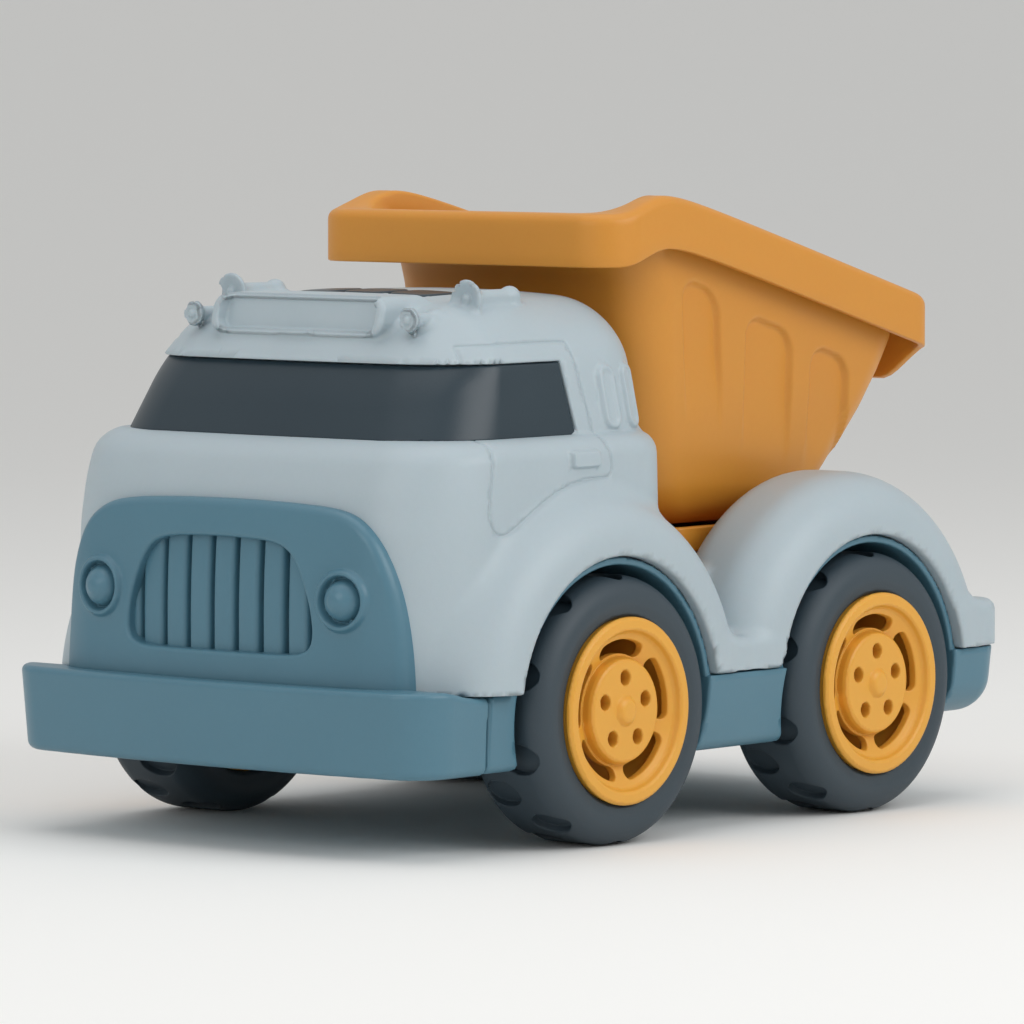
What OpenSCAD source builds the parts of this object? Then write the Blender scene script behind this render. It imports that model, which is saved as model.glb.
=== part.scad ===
// Push along dump truck with a tipping load bed.
// +X is forward, +Y is the truck's left side, +Z is up. Z = 0 is the ground
// and X = 0 is the middle of the truck's overall length. Sizes are in millimetres.

/* [Wheels] */
// Distance between the front and rear axles
wheelbase = 110; // [104:1:132]
// Outer radius of the tyres
tyre_r = 36; // [33:0.5:38]
// Width of one tyre
tyre_w = 27; // [22:0.5:28]
// Distance between the middles of the left and right tyres
track = 134; // [130:1:150]
// Radius of the visible edge of the wheel centres
rim_r = 25.1; // [23.5:0.1:28]
// Thickness of the wheel centres' webs
rim_web = 2.2; // [1.6:0.1:2.6]
// Diameter of the steel axles
axle_d = 4; // [3:0.1:5]
// Depth of the notches round the tyres' shoulders
notch_depth = 2; // [0.8:0.1:2.6]
// Number of notches round each shoulder
notch_n = 10; // [8:1:14]

/* [Body] */
// Width across the wheel arches
body_w = 160; // [156:1:176]
// Height of the seam between the pale and the teal moulding
seam_z = 43; // [41:0.5:46]
// Height of the deck's top face
deck_z = 72; // [70:0.5:76]
// Radial gap between a tyre and the wheel arch's edge
arch_gap = 5; // [4.4:0.1:6]
// Radial thickness of the wheel arches
arch_t = 17; // [14:0.5:19]
// Wall thickness of the body mouldings
wall = 2.4; // [2:0.1:2.8]
// Height of the chassis underside
chassis_z = 22; // [20:0.5:25]
// Distance from the rear axle to the tail
tail_len = 62; // [60:0.5:68]
// Height of the rear bar's top face
tail_z = 56; // [52:0.5:58]
// Width between the inner faces of the rear arches
bay_w = 93; // [91:0.5:96]

/* [Cab] */
// Distance from the cab's back wall to the front axle
cab_back = 42; // [40:0.5:44]
// Length of the cab
cab_len = 112; // [110:0.5:116]
// Height of the cab roof
cab_z = 145.5; // [140:0.5:156]
// Width of the cab at its waist
cab_w = 137; // [134:1:140]
// Height of the window's lower edge
window_z = 108.5; // [105:0.5:112]
// Height of the window opening
window_h = 19.5; // [17:0.5:21]
// Reach of the front bumper beyond the cab
bumper_out = 11; // [9:0.5:14]
// Height of the front bumper
bumper_h = 23; // [20:0.5:24]
// Thickness of the nose panel's plate
panel_t = 3.6; // [3:0.1:4.4]
// Number of slats in the grille
slat_n = 7; // [5:1:9]

/* [Load bed] */
// Length of the load bed over its rim
bed_len = 153; // [140:1:160]
// Width of the load bed over its rim at the front
bed_w = 109; // [104:1:122]
// Height of the turned-down rim
rim_h = 14.5; // [10:0.5:17]
// Wall thickness of the load bed
bed_wall = 2.2; // [1.8:0.1:2.8]
// Height of the rim's flat front
bed_front_z = 166.5; // [163:0.5:175]
// Slope of the rim towards the rear, as a rise over a run
bed_slope = 0.27; // [0.2:0.01:0.32]
// Distance from the front axle back to the rim's front edge
bed_front = 25; // [20:0.5:32]
// Height of the foot frame under the load bed
foot_h = 7; // [6:0.5:9]
// Distance of the hinge pin behind the rear axle
hinge_back = 20; // [18:0.5:22]
// Diameter of the hinge pin
pin_d = 3; // [2.5:0.1:3.6]

/* [Fits] */
// Radial clearance of the axles in their bearings and of the lugs on the hinge pin
run_gap = 0.08; // [0.04:0.01:0.1]
// Radial interference of the wheel centres on the axles and of the ears on the pin
press = 0.02; // [0:0.01:0.04]
// Gap between mouldings that are screwed together
gap = 0.4; // [0.3:0.05:0.6]
// Gap between a part that moves and the mouldings beside it
clear = 1.0; // [0.7:0.1:1.4]
// Diameter of the screws' threads
screw_d = 2.9; // [2.4:0.1:3.2]

/* [Hidden] */
$fn = 72;

pale = "#AEBFC6";
teal = "#5C7F8E";
mustard = "#D8973C";
rim_colour = "#EFAD45";
tyre_colour = "#4A5560";
window_colour = "#41525C";
steel = "#B9BDC0";

xf = wheelbase / 2;
xr = -wheelbase / 2;
arch_r = tyre_r + arch_gap;
fender_r = arch_r + arch_t;
liner_r = arch_r - gap - 2.2;
half_w = body_w / 2;
well_y = track / 2 - tyre_w / 2 - clear;
cab_x0 = xf - cab_back;
cab_x1 = cab_x0 + cab_len;
bumper_x = cab_x1 + bumper_out;
tail_x = xr - tail_len;
bed_x1 = xf - bed_front;
bed_x0 = bed_x1 - bed_len;
hinge_x = xr - hinge_back;
hinge_z = deck_z + 5;
eye_r = 4.4;
bay_y = bay_w / 2;
x_mid = (max(bumper_x, bed_x1) + min(tail_x - 1, bed_x0)) / 2;
floor_t = 2.6;
post_r = 4.6;
screw_head_r = screw_d * 0.95;
pilot_r = screw_d / 2 + 0.02;

// Moves a shape drawn from the middle of the wheelbase to the truck's own frame
module in_frame() translate([-x_mid, 0, 0]) children();

// Draws a shape and its copy on the right side
module both_sides() { children(); mirror([0, 1, 0]) children(); }

// Turns a shape drawn along Z so that Z becomes +Y
module along_y() rotate([-90, 0, 0]) children();

// Extrudes an outline drawn in X and Z across the truck, from y0 to y1
module side_slab(points, y0, y1)
    translate([0, y1, 0]) rotate([90, 0, 0]) linear_extrude(height = y1 - y0) polygon(points);

// Extrudes an outline drawn in Y and Z along the truck, from x0 to x1
module end_slab(points, x0, x1)
    translate([x0, 0, 0]) rotate([90, 0, 90]) linear_extrude(height = x1 - x0) polygon(points);

// Rounded rectangle from corner to corner, with its own radius at each end
module round_plate(x0, x1, hw, r0, r1)
    union() {
        translate([x0 + r0, -hw]) square([x1 - r1 - x0 - r0, 2 * hw]);
        translate([x0, -hw + r0]) square([r0 + 0.01, 2 * (hw - r0)]);
        translate([x1 - r1 - 0.01, -hw + r1]) square([r1 + 0.01, 2 * (hw - r1)]);
        for (s = [-1, 1]) {
            translate([x0 + r0, s * (hw - r0)]) circle(r = r0);
            translate([x1 - r1, s * (hw - r1)]) circle(r = r1);
        }
    }

// Points of an arc about c, from angle a0 to a1
function arc(c, r, a0, a1, n = 8) = [for (i = [0:n]) let (a = a0 + (a1 - a0) * i / n) [c[0] + r * cos(a), c[1] + r * sin(a)]];

// ---------------------------------------------------------------- cab shape

// Side outline of the cab, pulled in by d all round
function cab_side(d) = let (z = cab_z - d, b = cab_x0 + d, f = cab_x1 - d, w = window_z, t = window_z + window_h)
    [[b, seam_z], [b, z - 25.5], [b + 0.6, z - 19], [b + 1.9, z - 14], [b + 4.2, z - 9.2], [b + 7, z - 6.2], [b + 10.8, z - 3.9],
     [b + 16, z - 2.2], [b + 22.6, z - 1], [b + 38, z - 0.2], [b + 54.6, z], [b + 62.5, z - 0.5], [b + 70.5, z - 2.2], [b + 77, z - 4.2],
     [b + 82, z - 6.4], [b + 86, z - 10.6], [f - 22.6, t + 1.2], [f - 23.7, t], [f - 14.6, w + 0.4], [f - 14, w - 0.1],
     [f - 12, w - 0.3], [f - 9.4, w - 1.3], [f - 7, w - 3.4], [f - 5, w - 6.6], [f - 3.4, w - 11.5], [f - 2.6, w - 16], [f - 1.2, seam_z + 32], [f, seam_z]];

// Half outline of the cab seen from the front, pulled in by d
function cab_half(d) = let (w = cab_w / 2 - d, z = cab_z - d)
    [[w + 0.6, seam_z], [w, seam_z + 40], [w - 0.8, window_z - 7], [w - 2.4, window_z - 3.2], [w - 5.6, window_z - 0.4],
     [w - 6.2, window_z + 0.4], [w - 10.6, window_z + window_h], [w - 12.6, window_z + window_h + 3.4],
     [w - 17, z - 7], [w - 24, z - 3], [w - 34, z - 0.8], [w - 50, z]];
function cab_front(d) = let (h = cab_half(d)) concat(h, [for (i = [len(h) - 1:-1:0]) [-h[i][0], h[i][1]]]);

// Large cylinder that gives the nose its slight bow, front face at x
bow_r = 500;
module nose_bow(x, h) translate([x - bow_r, 0, 0]) cylinder(r = bow_r, h = h, $fn = 240);

// The cab as one closed form, pulled in by d
module cab_form(d)
    intersection() {
        side_slab(cab_side(d), -cab_w, cab_w);
        end_slab(cab_front(d), cab_x0 - 5, cab_x1 + 5);
        nose_bow(cab_x1 - d, cab_z + 10);
        union() {
            translate([0, 0, seam_z - 1]) linear_extrude(height = window_z - seam_z + 1)
                round_plate(cab_x0 + d, cab_x1 - d, cab_w / 2 + 0.6 - d, 24 - d, 22 - d);
            translate([0, 0, window_z - 0.01]) linear_extrude(height = cab_z - window_z)
                round_plate(cab_x0 + d, cab_x1 - 13.8 - d, cab_w / 2 - 6 - d, 24 - d, 27 - d);
        }
    }

// Space of the window opening, grown by g
module window_zone(g)
    side_slab([[cab_x0 + 40.5 - g, window_z - g], [cab_x0 + 42.5 - g, window_z + window_h + g],
        [cab_x1 + 9, window_z + window_h + g], [cab_x1 + 9, window_z - g]], -cab_w, cab_w);

// ---------------------------------------------------------------- arches

// Section of an arch: x is the radius, y is the height over the inner face
module arch_section(d, y0)
    polygon(concat([[arch_r + d - 0.0, y0 + d]],
        [[arch_r + d, half_w - 0.6 - d]], arc([fender_r - 15, half_w - 15.6], 15.6 - d, 78, 0, 7),
        arc([fender_r - 9, y0 + 9], 9 - d, 0, -90, 6)));

// Half ring over one wheel
module arch_ring(x, d, y0)
    intersection() {
        translate([x, 0, tyre_r]) along_y() rotate_extrude() arch_section(d, y0);
        translate([x - fender_r - 1, 0, seam_z]) cube([2 * fender_r + 2, body_w, fender_r + 20]);
    }

module arch(x, y0)
    difference() {
        arch_ring(x, 0, y0);
        translate([0, 0, -0.01]) arch_ring(x, wall, y0);
    }

// Space that a wheel needs in the body, with radius r
module wheel_space(r, y0)
    for (x = [xf, xr]) translate([x, y0, tyre_r]) along_y() cylinder(r = r, h = body_w);

// ---------------------------------------------------------------- screws and posts

body_posts = [[cab_x1 - 22, 36], [0, bay_y + 8], [tail_x + 10, 34]];
deck_posts = [[-20, 30], [xr - 28, 26]];
nose_x = cab_x1 - 4.5;
bumper_posts = [[nose_x - wall, 26]];
foot_x0 = hinge_x + 9;
foot_x1 = -12 + (bed_x1 - 30);
foot_y = bay_y - 3;
foot_z0 = deck_z + 0.4;
foot_z1 = foot_z0 + foot_h;
foot_plate_z = foot_z0 + 2.2;
foot_posts = [[foot_x0 + 9, foot_y - 12], [foot_x1 - 9, foot_y - 12]];
screw_z = chassis_z + 1.8;

// Self-tapping screw with a pan head, its seat at the origin, pointing up
module screw(l)
    difference() {
        union() {
            translate([0, 0, -1.6]) cylinder(r = screw_head_r, h = 1.6);
            cylinder(r = screw_d / 2, h = l - 1.5);
            translate([0, 0, l - 1.51]) cylinder(r1 = screw_d / 2, r2 = 0.4, h = 1.5);
        }
        for (a = [0, 90]) rotate([0, 0, a]) translate([-1.7, -0.35, -1.7]) cube([3.4, 0.7, 1.1]);
    }

// Puts copies at each listed point, on both sides
module at_posts(list) for (p = list) for (s = [-1, 1]) translate([p[0], s * p[1], 0]) children();

// ---------------------------------------------------------------- upper body

module horn(x, y, z, l, r)
    translate([x, y, z]) rotate([0, -90, 0]) rotate_extrude()
        polygon([[0, -0.4], [r * 0.82, -0.4], [r, 0.2], [r, 1.2], [r * 0.66, 3.2], [r * 0.42, l * 0.45],
            [r * 0.34, l - 2.4], [r * 0.5, l - 2.2], [r * 0.5, l - 0.6], [r * 0.3, l], [0, l]]);

module tail_bar(z0, z1, d)
    translate([0, 0, z0]) linear_extrude(height = z1 - z0)
        round_plate(tail_x + d, tail_x + 20, half_w - 1 - d, 9, 4);

module upper_body() color(pale) in_frame() difference() {
    union() {
        // cab shell, open below
        difference() {
            intersection() { cab_form(0); translate([-200, -100, seam_z]) cube([400, 200, 200]); }
            cab_form(wall);
            window_zone(0);
        }
        both_sides() {
            arch(xf, bay_y);
            arch(xr, bay_y);
            // inner wall beside the deck and the rear wheel
            difference() {
                union() {
                    translate([tail_x + 14, bay_y, seam_z]) cube([cab_x0 - tail_x - 12, wall, deck_z - seam_z - 3]);
                    intersection() {
                        translate([xr, bay_y, tyre_r]) along_y() cylinder(r = fender_r - 6, h = wall);
                        translate([xr - 80, 0, seam_z]) cube([160, body_w, 100]);
                    }
                }
                translate([tail_x, bay_y - 1, tail_z]) cube([xr - fender_r - tail_x + 4, wall + 2, 60]);
            }
            // running board and the wall behind it
            translate([-arch_r, bay_y, seam_z]) cube([2 * arch_r - 6, half_w - 1.5 - bay_y, wall + 6.6]);
            translate([-18, bay_y, seam_z]) cube([cab_x0 + 24, 12, deck_z - seam_z - 1.6 - gap / 2]);
        }
        // rear bar
        difference() {
            union() {
                tail_bar(seam_z, tail_z - 2.5, 0);
                tail_bar(tail_z - 2.6, tail_z - 0.8, 0.9);
                tail_bar(tail_z - 0.9, tail_z, 2.4);
            }
            translate([apron_x1 - gap, -bay_y, seam_z - 1]) cube([30, 2 * bay_y, 30]);
            translate([tail_x + wall, -half_w + 8, seam_z - 1]) cube([apron_x1 - gap - tail_x - 2 * wall, body_w - 16, tail_z - seam_z - wall - 1.5]);
        }
        // posts for the screws from below
        intersection() {
            at_posts(body_posts) translate([0, 0, seam_z - 14]) cylinder(r = post_r, h = 24);
            union() {
                translate([-300, -100, seam_z - 14]) cube([600, 200, 22]);
                cab_form(wall / 2);
            }
        }
        // rib that ties the front posts to the cab's nose
        both_sides() translate([cab_x1 - 22, 36 - wall / 2, seam_z]) cube([19, wall, 8]);
        // horns on the roof
        both_sides() {
            horn(cab_x0 + 62.5, 42, cab_z - 1.6, 19, 5);
            horn(cab_x0 + 81.5, 38.4, cab_z - 7, 14, 4);
        }
        // raised frame on the front slope of the roof
        translate([cab_x0 + 81, 0, cab_z - 5.6]) rotate([0, 28, 0]) translate([-4.4, 0, -4]) linear_extrude(height = 6)
            round_plate(-4, 7, 30, 3, 3);
        // door handles
        both_sides() translate([cab_x0 + 39, cab_w / 2 - 3, window_z - 8]) cube([11, 3.6, 4.3]);
        // raised vents behind the doors
        both_sides() for (x = [15, 25.5]) intersection() {
            cab_form(-0.9);
            translate([cab_x0 + x, 20, window_z + 10]) rotate([-90, 0, 0]) linear_extrude(height = 60) union() {
                translate([-3.2, -5.4]) square([6.4, 10.8]);
                for (s = [-1, 1]) translate([0, s * 5.4]) circle(r = 3.2);
            }
        }
    }
    // spaces of the wheels and their liners
    both_sides() wheel_space(arch_r, bay_y + wall);
    // recess in the roof's frame
    translate([cab_x0 + 81, 0, cab_z - 5.6]) rotate([0, 28, 0]) translate([-4.4, 0, 0.4]) linear_extrude(height = 6)
        round_plate(-2, 5, 27.5, 2, 2);
    // seat of the roof lights
    for (y = [-16.5, 0, 16.5]) translate([cab_x0 + 43, y, cab_z - 12]) linear_extrude(height = 20)
        round_plate(0, 15, 7.2, 4, 4);
    // door line
    both_sides() intersection() {
        difference() { cab_form(-2); cab_form(0.7); }
        side_slab(door_line(0.4), 40, 90);
        difference() { side_slab(door_line(0.4), 40, 90); side_slab(door_line(-0.4), 39, 91); }
    }
    // hollows of the screws
    at_posts(body_posts) translate([0, 0, seam_z - 15]) cylinder(r = pilot_r, h = 17);
    // space behind the nose panel's plate
    translate([cab_x1 - 6, 0, 0]) nose_panel_cut();
    // the cab's inside stays clear of the running boards
    intersection() { cab_form(wall); translate([cab_x0 + wall, -bay_y + 0.1, seam_z - 1]) cube([cab_len, bay_w - 0.2, 60]);
        translate([cab_x0 + 12, -100, 0]) cube([cab_len - 36, 200, 200]); }
}

// Outline of the door seam in X and Z, grown by g
function door_line(g) = [
    [cab_x0 + 34 - g, window_z - 9 - g], [cab_x0 + 37.4 - g, window_z + window_h + 4.5 + g], [cab_x0 + 76 + g, window_z + window_h + 4.5 + g],
    [cab_x0 + 79 + g, window_z + 6], [cab_x0 + 82.5 + g, window_z - 16], [cab_x0 + 82 + g, window_z - 22 - g], [cab_x0 + 78.5, window_z - 25.4 - g],
    [cab_x0 + 71, window_z - 21.2 - g], [cab_x0 + 60, window_z - 15.8 - g], [cab_x0 + 47.5, window_z - 11.6 - g]];

// ---------------------------------------------------------------- nose panel

// Front outline of the nose panel in Y and Z, pulled in by d
function panel_half(d) = [[60 - d, seam_z + 2.6 + d], [58 - d, seam_z + 22], [53.5 - d, seam_z + 36],
    [47 - d, seam_z + 43.6], [38 - d * 0.6, seam_z + 47.4 - d], [20, seam_z + 49 - d]];
function panel_outline(d) = let (h = panel_half(d)) concat(h, [for (i = [len(h) - 1:-1:0]) [-h[i][0], h[i][1]]]);

// Outline of the grille opening
function grille_half(d) = [[31 + d, seam_z + 11 - d], [32.4 + d, seam_z + 14], [31 + d, seam_z + 22], [26 + d, seam_z + 34],
    [22 + d, seam_z + 38.2 + d * 0.7], [17, seam_z + 39.4 + d]];
function grille_outline(d) = let (h = grille_half(d)) concat([[-30, seam_z + 9.6 - d], [30, seam_z + 9.6 - d]], h, [for (i = [len(h) - 1:-1:0]) [-h[i][0], h[i][1]]]);

// Hole in the cab's nose for the panel's locating block
module nose_panel_cut() translate([-12, -24, seam_z + 14]) cube([30, 48, 20]);

module grille_panel() color(teal) in_frame() difference() {
    union() {
        intersection() {
            end_slab(panel_outline(0), cab_x1 - 26, cab_x1 + 10);
            difference() {
                nose_bow(cab_x1 + panel_t + 0.4, 120);
                nose_bow(cab_x1 + gap, 120);
            }
        }
        // locating block that sits in the cab's nose
        translate([cab_x1 - 12, -24 + gap, seam_z + 14 + gap]) cube([13.4, 48 - 2 * gap, 20 - 2 * gap]);
        // headlamp rings
        for (s = [-1, 1]) translate([cab_x1 - 0.6, s * 43, seam_z + 24.6]) rotate([0, 90, s * 5]) union() {
            difference() { cylinder(r = 7.8, h = 6); translate([0, 0, 4]) cylinder(r = 6.2, h = 3); }
            translate([0, 0, 0.6]) intersection() { cylinder(r = 5.3, h = 9); translate([0, 0, -1.2]) sphere(r = 8); }
        }
    }
    // grille opening with its slats left standing
    intersection() {
        end_slab(grille_outline(0), cab_x1 - 1, cab_x1 + 12);
        difference() {
            translate([cab_x1 + panel_t - 1.6, -60, 0]) cube([20, 120, 120]);
            for (i = [0:slat_n - 1]) translate([cab_x1 - 1, -27 + 54 * i / (slat_n - 1), 0]) cylinder(r = 3, h = 120);
        }
    }
}

bumper_z0 = seam_z + 2 - bumper_h;
bumper_screw_z = bumper_z0 + 11;
module front_bumper() color(teal) in_frame() difference() {
    union() {
        difference() {
            translate([0, 0, bumper_z0]) intersection() {
                linear_extrude(height = bumper_h) difference() {
                    round_plate(xf + 49.4, bumper_x, half_w - 5, 1, 11);
                    round_plate(0, nose_x + gap, half_w - 18, 1, 6);
                }
                translate([0, 0, -1]) nose_bow(bumper_x, bumper_h + 2);
            }
            // hollow back
            translate([nose_x, -58, bumper_z0 + wall]) cube([bumper_x - nose_x - wall - 3, 116, bumper_h - 2 * wall - 2]);
        }
        for (s = [-1, 1]) translate([nose_x + gap, s * bumper_posts[0][1], bumper_screw_z]) rotate([0, 90, 0]) cylinder(r = post_r, h = bumper_x - nose_x - gap - 2);
    }
    // step under the arches and the cab's lower edge
    translate([0, -half_w, seam_z - gap]) cube([xf + fender_r + 1, body_w, 20]);
    translate([0, 0, seam_z - gap]) linear_extrude(height = 20) round_plate(xf, cab_x1 + panel_t + 0.9, cab_w / 2 + 1, 1, 20);
    for (s = [-1, 1]) translate([nose_x, s * bumper_posts[0][1], bumper_screw_z]) rotate([0, 90, 0]) cylinder(r = pilot_r, h = 9);
}

// ---------------------------------------------------------------- chassis

module chassis_side(z0, z1, d)
    translate([0, 0, z0]) linear_extrude(height = z1 - z0) union() {
        // sill between the wheels
        translate([-arch_r + 25, 0]) translate([0, -half_w + 1.4 + d]) square([2 * arch_r - 50.6, body_w - 2.8 - 2 * d]);
        // tail
        round_plate(tail_x + 1 + d, tail_x + 22 - d, half_w - 1.4 - d, 9, 3);
        // nose behind the bumper
        translate([xf + arch_r - gap - 0.6 + d, -half_w + 5 + d]) square([7.4 - d, body_w - 10 - 2 * d]);
        translate([tail_x + 8, -well_y + 0.2]) square([nose_x - 8 - tail_x, 2 * well_y - 0.4]);
    }

module liner(x)
    intersection() {
        difference() {
            translate([x, bay_y + wall + gap, tyre_r]) along_y() cylinder(r = liner_r + 2.2, h = half_w - 5 - bay_y - wall - gap);
            translate([x, well_y, tyre_r]) along_y() cylinder(r = liner_r, h = 60);
        }
        translate([x - 60, 0, seam_z - 8]) cube([120, 100, 100]);
    }

module chassis_tub() color(teal) in_frame() difference() {
    union() {
        difference() {
            union() {
                chassis_side(chassis_z + 2, seam_z - gap, 0);
                chassis_side(chassis_z, chassis_z + 2.1, 1.6);
            }
            // inside, open above
            translate([tail_x + 8 + wall, -bay_y, chassis_z + floor_t]) cube([nose_x - tail_x - 8 - 2 * wall, bay_w, 60]);
            both_sides() {
                translate([-10, bay_y - 1, chassis_z + floor_t]) cube([20, half_w - bay_y - wall - 1, 60]);
                translate([tail_x + 4, bay_y - 1, chassis_z + floor_t]) cube([xr - arch_r - tail_x - 7, half_w - bay_y - wall - 3, 60]);
            }
            both_sides() wheel_space(liner_r, well_y);
        }
        both_sides() { liner(xf); liner(xr); }
        // bearing blocks for the axles
        both_sides() for (x = [xf, xr]) {
            translate([x - 6, bay_y - 9, chassis_z + 1]) cube([12, well_y - bay_y + 9, tyre_r - chassis_z + 5]);
            translate([x - 6, 12, chassis_z + 1]) cube([12, 7, tyre_r - chassis_z + 5]);
        }
        // bosses for the screws
        at_posts(deck_posts) translate([0, 0, chassis_z + 1]) cylinder(r = post_r, h = 9);
        at_posts(body_posts) translate([0, 0, chassis_z + 0.4]) cylinder(r = post_r, h = 5.6);
    }
    // axle bearings
    for (x = [xf, xr]) translate([x, -body_w / 2, tyre_r]) along_y() cylinder(r = axle_d / 2 + run_gap, h = body_w);
    // wheels turn free of everything
    both_sides() wheel_space(tyre_r + 1.2, well_y);
    // screw holes and their counterbores
    at_posts(concat(body_posts, deck_posts)) {
        translate([0, 0, chassis_z - 1]) cylinder(r = screw_d / 2 + 0.15, h = 30);
        translate([0, 0, chassis_z - 1]) cylinder(r = screw_head_r + 0.3, h = 1 + screw_z - chassis_z);
    }
    at_posts(body_posts) translate([0, 0, chassis_z + 6 + gap]) cylinder(r = post_r + gap, h = 40);
    at_posts(bumper_posts) translate([0, 0, bumper_screw_z]) rotate([0, 90, 0]) translate([0, 0, -20]) cylinder(r = screw_d / 2 + 0.15, h = 40);
}

// ---------------------------------------------------------------- deck

apron_x0 = hinge_x - 8;
deck_wide_x = -13;
apron_x1 = tail_x + 16.6;
function apron(d) = let (n = 12, a = apron_x0 - apron_x1, h = deck_z - tail_z - 1)
    [for (i = [0:n]) let (t = 90 * i / n) [apron_x0 - (a - d) * sin(t), deck_z - h + (h - d) * cos(t)]];

module deck_plate() color(mustard) in_frame() difference() {
    union() {
        // flat deck, wide behind the cab and narrow between the rear arches
        translate([apron_x0, -bay_y + gap, deck_z - floor_t]) cube([cab_x0 - gap - apron_x0, bay_w - 2 * gap, floor_t]);
        difference() {
            translate([deck_wide_x, -bay_y - 10, deck_z - 1.6]) cube([cab_x0 - gap - deck_wide_x, bay_w + 20, 1.6]);
            both_sides() wheel_space(fender_r + gap, bay_y - gap);
        }
        // curved apron down to the rear bar
        difference() {
            side_slab(concat([[apron_x0, tail_z - 7], [apron_x0, deck_z]], apron(0), [[apron_x1, tail_z - 7]]), -bay_y + gap, bay_y - gap);
            side_slab(concat([[apron_x0 + 1, 0], [apron_x0 + 1, deck_z - floor_t]], apron(floor_t), [[apron_x1 + floor_t, 0]]), -bay_y - 1, bay_y + 1);
        }
        // hinge ears
        both_sides() {
            translate([hinge_x, foot_y - 3.6, hinge_z]) along_y() cylinder(r = eye_r, h = 4);
            translate([hinge_x - eye_r, foot_y - 3.6, deck_z - 1]) cube([2 * eye_r, 4, hinge_z - deck_z + 1]);
        }
        // posts down to the chassis
        at_posts(deck_posts) translate([0, 0, chassis_z + 10 + gap]) cylinder(r = post_r, h = deck_z - chassis_z - 11 - gap);
    }
    at_posts(deck_posts) translate([0, 0, chassis_z]) cylinder(r = pilot_r, h = 26);
    translate([hinge_x, -bay_y, hinge_z]) along_y() cylinder(r = pin_d / 2 - press, h = bay_w);
}

// ---------------------------------------------------------------- load bed

// The bed is a row of closed rings. Each ring is a rounded rectangle, given by
// its front x, rear x, half width at the front and corner radii.
ring_n = 22;
bed_taper = 0.034;
wall_z0 = foot_z1 + 0.1;

// One point of the ring's outline: corner k of 4 and angle step j
function ring_pt(xa, xb, hw, rf, rb, k, j) = let (a = k * 90 + j * 90 / (ring_n / 2 - 1),
    front = k == 0 || k == 3, left = k < 2, r = front ? rf : rb,
    cx = front ? xa - rf : xb + rb,
    tap = bed_taper * (xa - cx),
    cy = (left ? 1 : -1) * (hw - tap - r))
    [cx + r * cos(a), cy + r * sin(a)];
function side_pts(xa, xb, hw, rf, rb, left, m = 9) = let (s = left ? 1 : -1,
    x0 = left ? xa - rf : xb + rb, x1 = left ? xb + rb : xa - rf)
    [for (i = [1:m]) let (x = x0 + (x1 - x0) * i / (m + 1)) [x, s * (hw - bed_taper * (xa - x))]];
function ring(xa, xb, hw, rf, rb) = concat(
    [for (j = [0:ring_n / 2 - 1]) ring_pt(xa, xb, hw, rf, rb, 0, j)], side_pts(xa, xb, hw, rf, rb, true),
    [for (j = [0:ring_n / 2 - 1]) ring_pt(xa, xb, hw, rf, rb, 1, j)], [for (j = [0:ring_n / 2 - 1]) ring_pt(xa, xb, hw, rf, rb, 2, j)],
    side_pts(xa, xb, hw, rf, rb, false), [for (j = [0:ring_n / 2 - 1]) ring_pt(xa, xb, hw, rf, rb, 3, j)]);

// Height of the rim's top over the bed's plan: flat front, a hump on each side, then a slope to the rear
function smooth(t) = let (u = min(1, max(0, t))) u * u * (3 - 2 * u);
function rim_top(x, y) = let (u = bed_x1 - x, side = smooth((abs(y) - 30) / 16),
    slope = bed_front_z + 4.6 - bed_slope * max(0, u - 26),
    hump = bed_front_z + 4.6 * smooth((u - 6) / 20) - bed_slope * (u > 26 ? sqrt((u - 26) * (u - 26) + 100) - 10 : 0))
    side * hump + (1 - side) * (bed_front_z - bed_slope * max(0, u - 20));

// Profile of the walls from the floor (t = 0) to the rim (t = 1)
function front_x(t) = bed_x1 - 30 + lookup(t, [[0, -14], [0.03, -8.5], [0.07, -4], [0.13, -0.5], [0.22, 2], [0.38, 4.2], [0.58, 5.6], [0.74, 6.2], [0.83, 8.2], [0.9, 12], [0.955, 17.5], [1, 23]]);
function rear_x(t) = bed_x0 + lookup(t, [[0, 54], [0.04, 48], [0.1, 42], [0.2, 35], [0.34, 27.5], [0.5, 20], [0.68, 13], [0.84, 8], [1, 5.5]]);
function half_y(t) = bed_w / 2 - 7 - lookup(t, [[0, 16], [0.02, 12], [0.06, 8], [0.12, 5.4], [0.25, 3.6], [0.5, 1.8], [0.8, 0.6], [1, 0]]);
function wall_ring(t, d, lift) = [for (p = ring(front_x(t) - d, rear_x(t) + d, half_y(t) - d, 12 - d * 0.5, 9 - d * 0.5))
    [p[0], p[1], wall_z0 + lift + t * (rim_top(p[0], p[1]) - 2.2 - wall_z0 - lift)]];
function lip_ring(d, drop) = [for (p = ring(bed_x1 - d, bed_x0 + d, bed_w / 2 - d, 13 - d, 9 - d)) [p[0], p[1], rim_top(p[0], p[1]) - drop]];
function top_ring(d) = [for (p = ring(front_x(1) - d, rear_x(1) + d, half_y(1) - d, 12 - d * 0.5, 9 - d * 0.5)) [p[0], p[1], rim_top(p[0], p[1])]];

steps = [0, 0.02, 0.045, 0.08, 0.13, 0.2, 0.3, 0.42, 0.56, 0.7, 0.8, 0.88, 0.945, 1];
bed_rings = concat([for (t = steps) wall_ring(t, 0, 0)], [lip_ring(bed_wall, 2.2), lip_ring(bed_wall, rim_h), lip_ring(0, rim_h), lip_ring(0, 1.6), lip_ring(0.6, 0.5), lip_ring(1.8, 0)],
    [top_ring(bed_wall * 0.4)], [for (i = [len(steps) - 1:-1:0]) wall_ring(steps[i] == 1 ? 0.985 : steps[i], bed_wall, bed_wall)]);

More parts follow.
